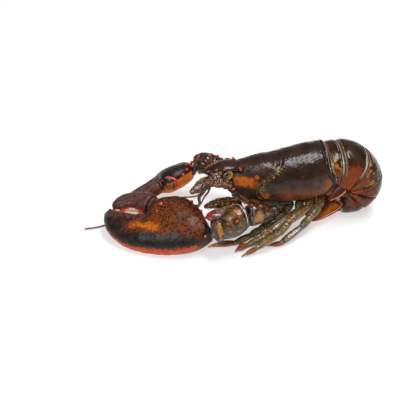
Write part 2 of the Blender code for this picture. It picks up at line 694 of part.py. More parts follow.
def feelers(shell, brown):
    """The long feelers' thick roots, the near one's whip, the short paired feelers, and the mouth legs."""
    root_widths = ((0, 4.4), (0.3, 4.4), (0.42, 4.0), (0.62, 4.8), (0.8, 3.8), (1, 2.6))
    feeler(
        "feeler_root_left",
        [(-49.5, -11, 57.5), (-55.5, -11.6, 59.8), (-62, -10, 61.4), (-68, -7.5, 60.2)],
        root_widths,
        10,
        9,
        shell,
    )
    feeler(
        "feeler_root_right",
        [(-49.5, 10.5, 52), (-60, 11.5, 52), (-71, 9.0, 49), (-81, 5, 45)],
        root_widths,
        10,
        9,
        shell,
    )
    # The whip hangs down behind the near claw, runs on under the claw's raised inner edge, and
    # comes out in front of it.
    whip = [(-70, -7, 58.2), (-73, -6, 51.5), (-76, -2, 43), (-72.5, 9, 26), (-77, 22, 11), (-92, 34, 5.0)]
    whip += [(-110, 42, 3.0), (-128, 44, 2.2), (-146, 42, 1.7), (-162, 37.5, 1.4), (-178, 38.5, 1.2)]
    feeler("feeler_whip_left", whip, ((0, 1.7), (0.5, 1.25), (1, 0.8)), 6, 30, brown)
    for side, word in ((-1, "left"), (1, "right")):
        widths = ((0, 2.2), (0.25, 1.9), (0.35, 1.1), (1, 0.6))
        feeler(f"feeler_short_{word}", SHORT_FEELERS[word], widths, 6, 11, brown)
        drop = MOUTH_LEG_DROP[word]
        mouth = [(-37, side * 6.2, 30 - drop), (-46, side * 6.8, 31.5 - drop)]
        mouth += [(-57, side * 6, 33 - drop), (-68, side * 4, 32.5 - drop)]
        widths = ((0, 4.0), (0.3, 4.6), (0.7, 3.6), (1, 1.8))
        feeler(f"mouth_leg_{word}", mouth, widths, 10, 9, shell)


def clear_scene():
    for obj in list(bpy.data.objects):
        bpy.data.objects.remove(obj)


def main():
    clear_scene()
    shell = material("dark shell", (0.07, 0.03, 0.016), 0.35)
    rust = material("rust shell", (0.16, 0.055, 0.02), 0.38)
    olive = material("olive shell", (0.11, 0.075, 0.03), 0.42)
    brown = material("brown horn", (0.1, 0.025, 0.012), 0.4)
    black = material("eye black", (0.006, 0.006, 0.007), 0.15)
    carapace(shell)
    first_tail_ring(shell)
    for k, ring in enumerate(RINGS):
        tail_ring(f"tail_ring_{k + 2}", ring, shell)
    tail_fan(rust)
    swimmerets(rust)
    # The near claw is the heavy crusher, the far one the slimmer cutter with longer fingers.
    left = Claw("left", -1, (-69.5, -22.5, 18.5), (-159.0, 35.5, 13.0), 22.0, 1.0, 1.0, HINGE)
    right = Claw("right", 1, (-60.0, 62.3, 32.5), (-139.5, 60.0, 5.5), 31.0, 0.76, 0.74, 0.43)
    for claw in (left, right):
        claw_palm(claw, rust)
        claw_finger(claw, rust)
    left_arm(olive)
    right_arm(olive)
    legs(olive)
    eyes(black)
    feelers(olive, brown)


main()
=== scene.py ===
import math

import bpy
import numpy as np
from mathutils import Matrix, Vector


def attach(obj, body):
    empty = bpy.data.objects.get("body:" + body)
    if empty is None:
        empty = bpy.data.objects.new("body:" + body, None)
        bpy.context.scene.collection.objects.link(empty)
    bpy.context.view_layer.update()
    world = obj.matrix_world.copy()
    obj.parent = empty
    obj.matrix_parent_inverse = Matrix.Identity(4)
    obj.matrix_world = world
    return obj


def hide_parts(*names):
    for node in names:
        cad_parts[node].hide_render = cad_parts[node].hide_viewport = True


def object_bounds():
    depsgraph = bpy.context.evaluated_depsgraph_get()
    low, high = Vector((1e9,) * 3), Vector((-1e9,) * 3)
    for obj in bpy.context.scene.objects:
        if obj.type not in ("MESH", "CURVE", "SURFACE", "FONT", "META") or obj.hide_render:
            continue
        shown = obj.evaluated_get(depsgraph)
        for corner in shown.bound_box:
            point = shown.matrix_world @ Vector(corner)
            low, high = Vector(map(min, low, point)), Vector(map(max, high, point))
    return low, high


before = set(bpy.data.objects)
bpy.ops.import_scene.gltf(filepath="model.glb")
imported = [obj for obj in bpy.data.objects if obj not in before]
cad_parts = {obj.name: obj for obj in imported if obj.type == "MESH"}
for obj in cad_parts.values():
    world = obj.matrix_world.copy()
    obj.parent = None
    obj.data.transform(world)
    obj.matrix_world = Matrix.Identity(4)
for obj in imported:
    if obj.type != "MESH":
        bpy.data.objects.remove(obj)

cadBox = [list(corner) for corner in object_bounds()]

# Places and sizes are in the animal's own millimetres: -X is the head, -Y its left side, z = 0 the ground.
millimetre = 0.001
partOrigin = np.array([-35.22, 14.73, 0.0])  # where the part's origin is in those millimetres
boxLow = np.array(cadBox[0]) / millimetre + partOrigin
boxHigh = np.array(cadBox[1]) / millimetre + partOrigin
sides = ((-1, "left"), (1, "right"))
# Masks painted on the points of the pieces. The materials turn each into a colour or a finish of its own.
maskNames = ("warm", "mauveSheen", "olive", "teal", "pale", "rim", "dark", "plain", "dull")
upward = (0, 0, 1)


# Values at t of a smooth curve through (place, value) pairs: cubic pieces whose slope at each pair is
# the straight slope between its two neighbours.
def curveAt(table, t):
    places = np.array([row[0] for row in table], float)
    values = np.array([row[1] for row in table], float)
    t = np.asarray(t, float)
    last = len(places) - 1
    before = np.maximum(np.arange(last + 1) - 1, 0)
    after = np.minimum(np.arange(last + 1) + 1, last)
    flat = (-1,) + (1,) * (values.ndim - 1)
    slopes = (values[after] - values[before]) / (places[after] - places[before]).reshape(flat)
    i = np.clip(np.searchsorted(places, t) - 1, 0, last - 1)
    span = places[i + 1] - places[i]
    s = np.clip((t - places[i]) / span, 0, 1)
    if values.ndim > 1:
        span, s = span[..., None], s[..., None]
    start = values[i] * (2 * s**3 - 3 * s**2 + 1) + slopes[i] * span * (s**3 - 2 * s**2 + s)
    return start + values[i + 1] * (3 * s**2 - 2 * s**3) + slopes[i + 1] * span * (s**3 - s**2)


def mirrored(points, side):  # side is 1 to keep the points and -1 to mirror them to the left
    return [(p[0], p[1] * side, p[2]) for p in points]


def unit(v):
    return v / np.maximum(np.linalg.norm(v, axis=-1, keepdims=True), 1e-9)


def signedPower(value, power):
    return np.sign(value) * np.abs(value) ** power


def hill(distance, width):  # 1 in the middle, falling softly to 0 at about twice the width
    return np.exp(-((distance / width) ** 2))


def rise(start, end, x):  # 0 before start, 1 after end, smooth between them
    s = np.clip((x - start) / (end - start), 0, 1)
    return s * s * (3 - 2 * s)


# Soft random relief between about -1 and 1: the mean of twelve sines that run in directions drawn from a
# seeded generator, each with a wavelength near size.
def waves(points, size, seed):
    draw = np.random.default_rng(seed)
    steps = unit(draw.normal(size=(12, 3))) * draw.uniform(0.6, 1.6, (12, 1)) * math.tau / size
    return np.sin(points @ steps.T + draw.uniform(0, math.tau, 12)).mean(-1) * 2.4


# Directions out of a closed grid of rings: the steps to the neighbours along and round it, crossed.
def gridNormals(grid):
    along = np.gradient(grid, axis=-3)
    around = np.roll(grid, -1, -2) - np.roll(grid, 1, -2)
    normals = unit(np.cross(along, around))
    outward = (normals * (grid - grid.mean(-2, keepdims=True))).sum()
    return normals if outward > 0 else -normals


def raised(grid, height):  # every point moves out of the surface by its height
    return grid + gridNormals(grid) * height[..., None]


# Closed skins over grids of rings: a quad between neighbours along and round, and a fan of triangles to a
# point in the middle of each end ring. grids is (copies, rows, columns, 3).
def closedSkins(grids, masks=None):
    copies, rows, columns = grids.shape[:3]
    size = rows * columns + 2
    index = np.arange(rows * columns).reshape(rows, columns)
    after = np.roll(index, -1, 1)
    quads = np.stack([index[:-1], after[:-1], after[1:], index[1:]], -1).reshape(-1, 4)
    first = np.full(columns, size - 2)
    ends = [np.stack([after[0], index[0], first], -1), np.stack([index[-1], after[-1], first + 1], -1)]
    tris = np.concatenate(ends)
    poles = np.stack([grids[:, 0].mean(1), grids[:, -1].mean(1)], 1)
    points = np.concatenate([grids.reshape(copies, -1, 3), poles], 1)
    volume = sum((points[0][f[:, 0]] * np.cross(points[0][f[:, 1]], points[0][f[:, 2]])).sum()
                 for f in (quads[:, :3], quads[:, [0, 2, 3]], tris))
    if volume < 0:
        quads, tris = quads[:, ::-1], tris[:, ::-1]
    offsets = (np.arange(copies) * size)[:, None, None]
    painted = {}
    for name, mask in (masks or {}).items():
        full = np.broadcast_to(np.asarray(mask, float), grids.shape[:3])
        tips = np.stack([full[:, 0].mean(1), full[:, -1].mean(1)], 1)
        painted[name] = np.concatenate([full.reshape(copies, -1), tips], 1).ravel()
    return {
        "points": points.reshape(-1, 3),
        "quads": (quads[None] + offsets).reshape(-1, 4),
        "tris": (tris[None] + offsets).reshape(-1, 3),
        "masks": painted,
    }


def closedSkin(grid, masks=None):
    return closedSkins(grid[None], {name: np.asarray(m)[None] for name, m in (masks or {}).items()})


# Adds a finished piece: the shapes' points and faces in one mesh, the masks as float attributes. A hair's
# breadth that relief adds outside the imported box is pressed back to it.
def addPiece(name, shapes, finish, nodes=()):
    starts = np.cumsum([0] + [len(s["points"]) for s in shapes])
    points = np.concatenate([s["points"] for s in shapes])
    points = (np.clip(points, boxLow, boxHigh) - partOrigin) * millimetre
    faces = np.concatenate([s["quads"] + k for s, k in zip(shapes, starts)]).tolist()
    faces += np.concatenate([s["tris"] + k for s, k in zip(shapes, starts)]).tolist()
    mesh = bpy.data.meshes.new(name)
    mesh.from_pydata(points, [], faces)
    mesh.shade_smooth()
    for mask in maskNames:
        if any(mask in s["masks"] for s in shapes):
            layer = mesh.attributes.new(mask, "FLOAT", "POINT")
            values = [s["masks"].get(mask, np.zeros(len(s["points"]))) for s in shapes]
            layer.data.foreach_set("value", np.concatenate(values).astype(np.float32))
    mesh.materials.append(finish)
    piece = bpy.data.objects.new(name, mesh)
    bpy.context.scene.collection.objects.link(piece)
    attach(piece, "root")
    if nodes:
        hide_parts(*nodes)
    return piece


# Directions along a smooth path at t: forward along it, side across it, and over, which is up from it.
def pathFrames(path, t, up=upward):
    places = [(k / (len(path) - 1), p) for k, p in enumerate(path)]
    forward = unit(curveAt(places, np.minimum(t + 0.02, 1)) - curveAt(places, np.maximum(t - 0.02, 0)))
    side = unit(np.cross(forward, np.asarray(up, float)))
    return curveAt(places, t), forward, side, np.cross(side, forward)


# A limb: ovals carried along a path. A point lies at the path's own point, plus half the width times the
# cosine of its turn sideways, plus half the height times the sine of its turn upwards. Widths and heights are
# tables over 0 to 1, a roundness under 1 makes the ovals boxy by raising cosine and sine to it, and dome
# rounds both ends off by that many millimetres. It gives the rings, and t and turn at each point.
def limb(path, widths, heights, rows=40, columns=32, up=upward, roundness=1.0, dome=(0, 0)):
    t = np.linspace(0, 1, rows)
    centre, forward, side, over = pathFrames(path, t, up)
    wide, high = curveAt(widths, t), curveAt(heights, t)
    turn = np.arange(columns) * math.tau / columns
    if dome[0] or dome[1]:
        bend = np.linspace(0, 1, 6)[:-1]
        grow = np.sin(np.maximum(bend, 0.08) * math.pi / 2)
        reach = np.cos(bend * math.pi / 2)
        for end, length in ((0, dome[0]), (-1, dome[1])):
            if not length:
                continue
            order = slice(None) if end == 0 else slice(None, None, -1)
            shift = -reach if end == 0 else reach
            extra = [(centre[end] + forward[end] * shift[:, None] * length)[order]]
            extra += [np.repeat(direction[end][None], 5, 0) for direction in (forward, side, over)]
            extra += [(wide[end] * grow)[order], (high[end] * grow)[order]]
            whole = [centre, forward, side, over, wide, high]
            pairs = [(e, w) if end == 0 else (w, e) for e, w in zip(extra, whole)]
            centre, forward, side, over, wide, high = [np.concatenate(pair) for pair in pairs]
            t = np.concatenate([np.zeros(5), t] if end == 0 else [t, np.ones(5)])
    across = (wide[:, None] * signedPower(np.cos(turn), roundness))[..., None] * side[:, None]
    along = (high[:, None] * signedPower(np.sin(turn), roundness))[..., None] * over[:, None]
    return centre[:, None] + across + along, t[:, None] + 0 * turn, turn + 0 * t[:, None]


# Studs: small domes or spines on many places at once. At share s of its length a stud is as wide as the
# power-th root of 1 less s to that power, so that 2 makes a round bead and 1 a pointed spine. Each is turned
# to its direction and sunk a little into what it stands on.
def studs(places, directions, radius, length, power=2.0, sink=0.6, columns=10, rows=7, masks=None):
    places, directions = np.asarray(places, float), unit(np.asarray(directions, float))
    radius = np.broadcast_to(np.asarray(radius, float), len(places))
    length = np.broadcast_to(np.asarray(length, float), len(places))
    s = np.linspace(0, 1, rows)
    width = np.maximum((1 - s**power) ** (1 / power), 0.04)
    turn = np.arange(columns) * math.tau / columns
    guide = np.where(np.abs(directions[:, 2:]) > 0.9, [[1.0, 0, 0]], [[0, 0, 1.0]])
    across = unit(np.cross(directions, guide))
    over = np.cross(across, directions)
    ring = (np.cos(turn)[:, None] * across[:, None] + np.sin(turn)[:, None] * over[:, None])[:, None]
    body = ring * (width[:, None, None] * radius[:, None, None, None])
    body = body + (directions[:, None, None] * (s[:, None, None] * length[:, None, None, None]))
    base = (places - directions * sink)[:, None, None]
    return closedSkins(base + body, {name: np.full(body.shape[:3], v) for name, v in (masks or {}).items()})


# Hairs: thin cones from roots towards directions, three sides each, drooping with the square of the share of
# their length.
def hairs(roots, directions, length, radius=0.12, droop=0.25, masks=None):
    s = np.linspace(0, 1, 4)
    turn = np.arange(3) * math.tau / 3
    directions = unit(np.asarray(directions, float))
    roots = np.asarray(roots, float)
    length = np.broadcast_to(np.asarray(length, float), len(roots))[:, None, None]
    line = roots[:, None] + directions[:, None] * s[:, None] * length
    line[..., 2] -= droop * s**2 * length[..., 0]
    across = unit(np.cross(directions, [[0.3, 0.2, 1.0]]))
    over = np.cross(across, directions)
    ring = np.cos(turn)[:, None] * across[:, None] + np.sin(turn)[:, None] * over[:, None]
    thick = (radius * (1 - 0.85 * s))[None, :, None, None]
    grids = line[:, :, None] + ring[:, None] * thick
    return closedSkins(grids, {name: np.full(grids.shape[:3], v) for name, v in (masks or {}).items()})


print("tools ready")


# Adds a node with its values and inputs set; a value that is a node's output becomes a link.
def node(tree, kind, inputs=None, **values):
    made = tree.nodes.new(kind)
    for key, value in values.items():
        setattr(made, key, value)
    for key, value in (inputs or {}).items():
        if isinstance(value, bpy.types.NodeSocket):
            tree.links.new(value, made.inputs[key])
        else:
            made.inputs[key].default_value = value
    return made


def newGroup(name, inputs, outputs):
    group = bpy.data.node_groups.new(name, "ShaderNodeTree")
    for direction, sockets in (("INPUT", inputs), ("OUTPUT", outputs)):
        for label, kind, value in sockets:
            socket = group.interface.new_socket(name=label, in_out=direction, socket_type=kind)
            if value is not None:
                socket.default_value = value
    return group, group.nodes.new("NodeGroupInput").outputs, group.nodes.new("NodeGroupOutput").inputs


def ramp(tree, factor, start, end):  # 0 below start and 1 above end, softly
    return node(tree, "ShaderNodeMapRange", {"Value": factor, "From Min": start, "From Max": end},
                interpolation_type="SMOOTHSTEP").outputs["Result"]


def mixed(tree, factor, first, second):
    mix = node(tree, "ShaderNodeMix", data_type="RGBA")
    for socket, value in ((mix.inputs[0], factor), (mix.inputs[6], first), (mix.inputs[7], second)):
        if isinstance(value, bpy.types.NodeSocket):
            tree.links.new(value, socket)
        else:
            socket.default_value = value
    return mix.outputs[2]


def maths(tree, operation, first, second=0.0):
    return node(tree, "ShaderNodeMath", {0: first, 1: second}, operation=operation).outputs[0]


colourKind, numberKind = "NodeSocketColor", "NodeSocketFloat"


# Shell colour: a cloudy mix of two tones, a warm tone where the warm mask says, and round dark specks that
# crowd on the warm parts and thin out where the plain mask says.
def makeShellColour():
    group, given, out = newGroup("shellColour", [
        ("Deep", colourKind, (0.02, 0.012, 0.009, 1)), ("Tone", colourKind, (0.06, 0.03, 0.02, 1)),
        ("Warm", colourKind, (0.3, 0.09, 0.02, 1)), ("Speck", colourKind, (0.01, 0.009, 0.009, 1)),
        ("Cloud Scale", numberKind, 120.0), ("Speck Scale", numberKind, 420.0),
        ("Speck Size", numberKind, 0.18), ("Speck Amount", numberKind, 0.6), ("Flecks", numberKind, 0.3),
        ("Ragged", numberKind, 1.1),  # how far the clouds break the edge of the warm parts
    ], [("Color", colourKind, None), ("Specks", numberKind, None)])
    place = node(group, "ShaderNodeTexCoord").outputs["Object"]
    clouds = node(group, "ShaderNodeTexNoise", {"Vector": place, "Scale": given["Cloud Scale"],
                  "Detail": 6.0, "Roughness": 0.62}).outputs["Fac"]
    colour = mixed(group, ramp(group, clouds, 0.36, 0.66), given["Deep"], given["Tone"])
    warm = node(group, "ShaderNodeAttribute", attribute_name="warm").outputs["Fac"]
    plain = node(group, "ShaderNodeAttribute", attribute_name="plain").outputs["Fac"]
    ragged = maths(group, "MULTIPLY", maths(group, "SUBTRACT", clouds, 0.5), given["Ragged"])
    ragged = maths(group, "ADD", warm, ragged)
    warmShare = maths(group, "MULTIPLY", ramp(group, ragged, 0.12, 0.85), ramp(group, warm, 0.0, 0.12))
    colour = mixed(group, warmShare, colour, given["Warm"])
    fine = node(group, "ShaderNodeTexNoise", {"Vector": place, "Scale": 1500.0, "Detail": 3.0}).outputs["Fac"]
    flecks = maths(group, "MULTIPLY", ramp(group, fine, 0.58, 0.72), given["Flecks"])
    colour = mixed(group, flecks, colour, mixed(group, 0.55, given["Tone"], given["Warm"]))
    cells = node(group, "ShaderNodeTexVoronoi", {"Vector": place, "Scale": given["Speck Scale"]})
    sizes = node(group, "ShaderNodeSeparateColor", {"Color": cells.outputs["Color"]}).outputs["Red"]
    reach = maths(group, "ADD", maths(group, "MULTIPLY", sizes, 0.2), given["Speck Size"])
    spots = maths(group, "SUBTRACT", reach, cells.outputs["Distance"])
    crowd = maths(group, "MULTIPLY", given["Speck Amount"], maths(group, "SUBTRACT", 1.0, plain))
    specks = maths(group, "MULTIPLY", ramp(group, spots, -0.06, 0.05), crowd)
    group.links.new(mixed(group, specks, colour, given["Speck"]), out["Color"])
    group.links.new(specks, out["Specks"])
    return group


# Edge colours: mauve, olive, teal, pale, red and dark bands laid over a colour where the masks of those names
# are, each frayed by a fine noise. The mauve is partly the claws' own mauve-grey and partly a painted sheen.
def makeEdgeColour():
    bands = (("mauveSheen", (0.13, 0.052, 0.046, 1)), ("olive", (0.12, 0.1, 0.03, 1)),
             ("teal", (0.035, 0.07, 0.075, 1)), ("pale", (0.5, 0.36, 0.2, 1)),
             ("rim", (0.62, 0.07, 0.02, 1)), ("dark", (0.006, 0.006, 0.007, 1)))
    inputs = [("Color", colourKind, None), ("Fray", numberKind, 0.35)]
    inputs += [(mask.capitalize(), colourKind, tint) for mask, tint in bands]
    group, given, out = newGroup("edgeColour", inputs, [("Color", colourKind, None)])
    place = node(group, "ShaderNodeTexCoord").outputs["Object"]
    noise = node(group, "ShaderNodeTexNoise", {"Vector": place, "Scale": 520.0, "Detail": 4.0}).outputs["Fac"]
    fray = maths(group, "MULTIPLY", maths(group, "SUBTRACT", noise, 0.5), given["Fray"])
    colour = given["Color"]
    for mask, tint in bands:
        amount = node(group, "ShaderNodeAttribute", attribute_name=mask).outputs["Fac"]
        edge = ramp(group, maths(group, "ADD", amount, fray), 0.22, 0.7)
        share = maths(group, "MULTIPLY", edge, ramp(group, amount, 0.02, 0.2))
        colour = mixed(group, share, colour, given[mask.capitalize()])
    group.links.new(colour, out["Color"])
    return group


# Wet shell surface: fine grains and shallow pits for the bump, a roughness that varies with a film of water
# lying in patches, and a coat that is thinner on the warm parts and where the dull mask says.
def makeWetShell():
    group, given, out = newGroup("wetShell", [
        ("Grain Scale", numberKind, 900.0), ("Pits", numberKind, 0.5),
        ("Smooth", numberKind, 0.16), ("Rough", numberKind, 0.42), ("Coat", numberKind, 0.35),
    ], [("Height", numberKind, None), ("Roughness", numberKind, None), ("Coat", numberKind, None)])
    place = node(group, "ShaderNodeTexCoord").outputs["Object"]
    grains = node(group, "ShaderNodeTexVoronoi", {"Vector": place, "Scale": given["Grain Scale"]},
                  feature="SMOOTH_F1").outputs["Distance"]
    wide = node(group, "ShaderNodeTexNoise", {"Vector": place, "Scale": 260.0, "Detail": 5.0}).outputs["Fac"]
    pits = maths(group, "MULTIPLY", grains, given["Pits"])
    group.links.new(maths(group, "ADD", pits, maths(group, "MULTIPLY", wide, 0.5)), out["Height"])
    film = node(group, "ShaderNodeTexNoise", {"Vector": place, "Scale": 90.0, "Detail": 4.0}).outputs["Fac"]
    varied = node(group, "ShaderNodeMapRange", {"Value": film, "From Min": 0.35, "From Max": 0.68,
                  "To Min": given["Smooth"], "To Max": given["Rough"]}).outputs["Result"]
    group.links.new(varied, out["Roughness"])
    warm = node(group, "ShaderNodeAttribute", attribute_name="warm").outputs["Fac"]
    dull = node(group, "ShaderNodeAttribute", attribute_name="dull").outputs["Fac"]
    coat = maths(group, "MULTIPLY", given["Coat"], ramp(group, warm, 1.0, 0.0))
    group.links.new(maths(group, "MULTIPLY", coat, maths(group, "SUBTRACT", 1.0, dull)), out["Coat"])
    return group


shellColour, edgeColour, wetShell = makeShellColour(), makeEdgeColour(), makeWetShell()


# A wet shell material: shell colour, then edge colours, with the wet surface's roughness, coat and bump. A
# look's entries that bear an input's name go to the groups, and the others to the shader and the bump.
def shellFinish(name, look):
    finish = bpy.data.materials.new(name)
    finish.use_nodes = True
    tree = finish.node_tree
    shader = tree.nodes["Principled BSDF"]
    tone = node(tree, "ShaderNodeGroup", node_tree=shellColour)
    edge = node(tree, "ShaderNodeGroup", node_tree=edgeColour)
    wet = node(tree, "ShaderNodeGroup", node_tree=wetShell)
    for group in (tone, edge, wet):
        for key, value in look.items():
            if key in group.inputs:
                group.inputs[key].default_value = (*value, 1) if isinstance(value, tuple) else value
    tree.links.new(tone.outputs["Color"], edge.inputs["Color"])
    tree.links.new(edge.outputs["Color"], shader.inputs["Base Color"])
    tree.links.new(wet.outputs["Roughness"], shader.inputs["Roughness"])
    relief = node(tree, "ShaderNodeBump", {"Height": wet.outputs["Height"],
                  "Strength": look.get("bumpStrength", 0.5), "Distance": look.get("bumpDepth", 0.0003)})
    tree.links.new(relief.outputs["Normal"], shader.inputs["Normal"])
    tree.links.new(wet.outputs["Coat"], shader.inputs["Coat Weight"])
    shader.inputs["Coat Roughness"].default_value = look.get("coatRoughness", 0.12)
    shader.inputs["Specular IOR Level"].default_value = look.get("shine", 0.5)
    return finish


# Finishes. Deep and Tone are the two dark tones and Warm the warm one. Specks and flecks are spots on them,
# and Olive, Teal, Pale, Rim and Mauve (partly a painted sheen) are the colours of the bands and patches.
finishes = {
    "back": shellFinish("back shell", {
        "Deep": (0.02, 0.009, 0.006), "Tone": (0.046, 0.019, 0.01), "Warm": (0.42, 0.1, 0.012),
        "Speck": (0.006, 0.005, 0.004), "Cloud Scale": 95.0, "Speck Scale": 700.0, "Speck Amount": 0.35,
        "Ragged": 0.6, "Flecks": 0.16, "Olive": (0.12, 0.078, 0.014), "Teal": (0.012, 0.022, 0.024),
        "Pale": (0.48, 0.25, 0.08), "Smooth": 0.22, "Rough": 0.42, "Grain Scale": 950.0, "Pits": 1.5,
        "Coat": 0.42, "shine": 0.12, "bumpStrength": 0.8}),
    "tail": shellFinish("tail shell", {
        "Deep": (0.018, 0.007, 0.004), "Tone": (0.055, 0.02, 0.008), "Warm": (0.25, 0.045, 0.005),
        "Speck": (0.007, 0.006, 0.006), "Cloud Scale": 110.0, "Speck Scale": 620.0, "Speck Amount": 0.3,
        "Ragged": 0.6, "Flecks": 0.2, "Olive": (0.4, 0.15, 0.015), "Teal": (0.03, 0.06, 0.065),
        "Pale": (0.55, 0.42, 0.28), "Smooth": 0.18, "Rough": 0.38, "Coat": 0.5, "shine": 0.1}),
    "claw": shellFinish("claw shell", {
        "Deep": (0.014, 0.009, 0.007), "Tone": (0.04, 0.019, 0.013), "Warm": (0.19, 0.04, 0.006),
        "Speck": (0.01, 0.007, 0.006), "Cloud Scale": 150.0, "Speck Scale": 430.0, "Speck Amount": 0.92,
        "Speck Size": 0.3, "Fray": 0.9, "Flecks": 0.3, "Rim": (0.56, 0.06, 0.008),
        "Pale": (0.75, 0.6, 0.42), "Olive": (0.62, 0.16, 0.013), "Smooth": 0.33, "Rough": 0.55,
        "Coat": 0.25, "coatRoughness": 0.3, "shine": 0.15, "bumpStrength": 0.7}),
    "arm": shellFinish("arm shell", {
        "Deep": (0.02, 0.012, 0.007), "Tone": (0.07, 0.035, 0.014), "Warm": (0.32, 0.1, 0.012),
        "Speck": (0.012, 0.012, 0.01), "Cloud Scale": 240.0, "Speck Scale": 420.0, "Speck Amount": 0.8,
        "Flecks": 0.45, "Olive": (0.4, 0.16, 0.03), "Teal": (0.025, 0.07, 0.08), "Pale": (0.7, 0.6, 0.5),
        "Rim": (0.72, 0.06, 0.015), "Smooth": 0.14, "Rough": 0.34}),
    "bead": shellFinish("red beads", {
        "Deep": (0.6, 0.035, 0.008), "Tone": (0.85, 0.075, 0.015), "Warm": (0.9, 0.2, 0.03),
        "Cloud Scale": 900.0, "Speck Amount": 0.0, "Flecks": 0.1, "Smooth": 0.1, "Rough": 0.25, "Coat": 0.6}),
    "knob": shellFinish("knob shell", {
        "Deep": (0.12, 0.014, 0.01), "Tone": (0.4, 0.035, 0.016), "Warm": (0.1, 0.04, 0.015),
        "Speck": (0.02, 0.01, 0.01), "Cloud Scale": 150.0, "Speck Amount": 0.2, "Flecks": 0.1,
        "Olive": (0.19, 0.1, 0.07), "Smooth": 0.06, "Rough": 0.2, "Coat": 0.8}),
    "leg": shellFinish("leg shell", {
        "Deep": (0.1, 0.066, 0.024), "Tone": (0.29, 0.175, 0.06), "Warm": (0.34, 0.07, 0.014),
        "Speck": (0.02, 0.02, 0.012), "Cloud Scale": 300.0, "Speck Scale": 700.0, "Speck Amount": 0.35,
        "Flecks": 0.4, "Olive": (0.07, 0.07, 0.02), "Teal": (0.03, 0.065, 0.06), "Pale": (0.6, 0.5, 0.36),
        "Rim": (0.55, 0.07, 0.02), "Smooth": 0.14, "Rough": 0.36}),
    "head": shellFinish("head parts", {
        "Deep": (0.03, 0.014, 0.008), "Tone": (0.16, 0.07, 0.03), "Warm": (0.36, 0.13, 0.02),
        "Speck": (0.015, 0.012, 0.01), "Cloud Scale": 420.0, "Speck Scale": 600.0, "Speck Amount": 0.6,
        "Flecks": 0.45, "Pale": (0.55, 0.45, 0.36), "Olive": (0.4, 0.19, 0.04), "Rim": (0.72, 0.06, 0.015),
        "Smooth": 0.12, "Rough": 0.34}),
    "feeler": shellFinish("feeler horn", {
        "Deep": (0.06, 0.012, 0.007), "Tone": (0.13, 0.03, 0.014), "Warm": (0.3, 0.08, 0.02),
        "Cloud Scale": 300.0, "Speck Amount": 0.1, "Flecks": 0.2, "Smooth": 0.2, "Rough": 0.4}),
    "fan": shellFinish("fan shell", {
        "Deep": (0.75, 0.16, 0.01), "Tone": (0.95, 0.24, 0.015), "Warm": (0.95, 0.28, 0.02), "shine": 0.2,
        "Speck": (0.03, 0.02, 0.01), "Cloud Scale": 200.0, "Speck Amount": 0.3, "Flecks": 0.3,
        "Pale": (0.75, 0.65, 0.5), "Rim": (0.32, 0.035, 0.014), "Teal": (0.04, 0.07, 0.07),
        "Smooth": 0.2, "Rough": 0.4}),
    "eye": shellFinish("eye", {
        "Deep": (0.004, 0.004, 0.004), "Tone": (0.008, 0.006, 0.005), "Warm": (0.3, 0.13, 0.03),
        "Cloud Scale": 500.0, "Speck Amount": 0.0, "Flecks": 0.0, "Smooth": 0.04, "Rough": 0.1, "Coat": 1.0,
        "coatRoughness": 0.03, "bumpStrength": 0.05}),
}
print("finishes ready")

# Head and back shell. The tables are the outline seen from the side and from above.
backShell = {
    "rows": 190, "columns": 116,
    "socketX": -47.0, "rearX": 49.0, "rearSkew": 0.17, "reach": 0.76,
    "top": ((-50, 69.5), (-38, 71.0), (-12, 73.5), (0, 72.5), (12, 74.0), (35, 76.0), (60, 75.5)),
    "middle": ((-50, 55), (-30, 52), (0, 50), (30, 49.5), (60, 52)),
    "bottom": ((-50, 43), (-34, 35), (-15, 28), (5, 25), (30, 24), (45, 27), (60, 33)),
    "halfWidth": ((-50, 14.5), (-38, 18.0), (-20, 22.0), (0, 24.0), (25, 26.0), (45, 25.5), (60, 23)),
    "breast": ((-50, -1.5), (-30, -1.5), (-8, 3.0), (8, 6.5), (38, 6.5), (52, 0.0)),
    # The groove across the back, as x at each turn from the top (0) to the lower rim.
    "groove": ((0, 3.0), (0.1, 2.0), (0.2, -2.5), (0.27, -8.5), (0.32, -15.0), (0.37, -21.0),
               (0.44, -24.5), (0.55, -24.0), (0.65, -17.0), (0.76, -6.0)),
    "grooveDepth": 0.55,
    "rearBulge": (8.0, 46.5, 10.5),  # how far the rear edge bulges, at what height, and how broadly
    "frontSlope": (34.0, 60.0, 32.0),  # how far the front edge runs back below a height, over what fall
    # The beak and the mouth under it: path, half widths and half heights.
    "beak": ([(-27, 0, 66.4), (-46, 0, 71.0), (-58, 0, 71.2), (-67, 0, 69.8), (-74.5, 0, 69.2)],
             ((0, 8.0), (0.3, 8.4), (0.55, 5.4), (0.8, 2.8), (1, 0.6)),
             ((0, 4.0), (0.3, 3.6), (0.55, 2.8), (0.8, 1.9), (1, 0.5))),
    "mouth": ([(-46, 0, 55), (-40, 0, 46), (-28, 0, 36), (-10, 0, 31)], ((0, 6), (0.3, 9), (1, 6)),
              ((0, 6), (0.4, 7), (1, 5))),
    # Spines of the right side, mirrored to the left: place, direction, radius and length.
    "spines": (((-59, 4.6, 71.6), (-1.0, 0.45, 0.3), 1.5, 5.6),
               ((-66, 2.6, 70.2), (-1.0, 0.4, 0.25), 1.2, 4.8),
               ((-52, 6.8, 71.8), (-1.0, 0.4, 0.4), 1.4, 4.8),
               ((-38, 9.3, 69.8), (-0.45, 0.0, 0.9), 1.9, 6.1),
               ((-46.5, 15.8, 55.0), (-1.0, 0.3, 0.1), 1.7, 5.2)),
}


def rearEdge(z, y):  # the sides reach further back than the top and the lower corners
    depth, height, width = backShell["rearBulge"]
    return backShell["rearX"] + depth * hill(z - height, width) + backShell["rearSkew"] * y


def frontEdge(z):
    depth, height, fall = backShell["frontSlope"]
    return backShell["socketX"] + depth * (np.maximum(height - z, 0) / fall) ** 1.6


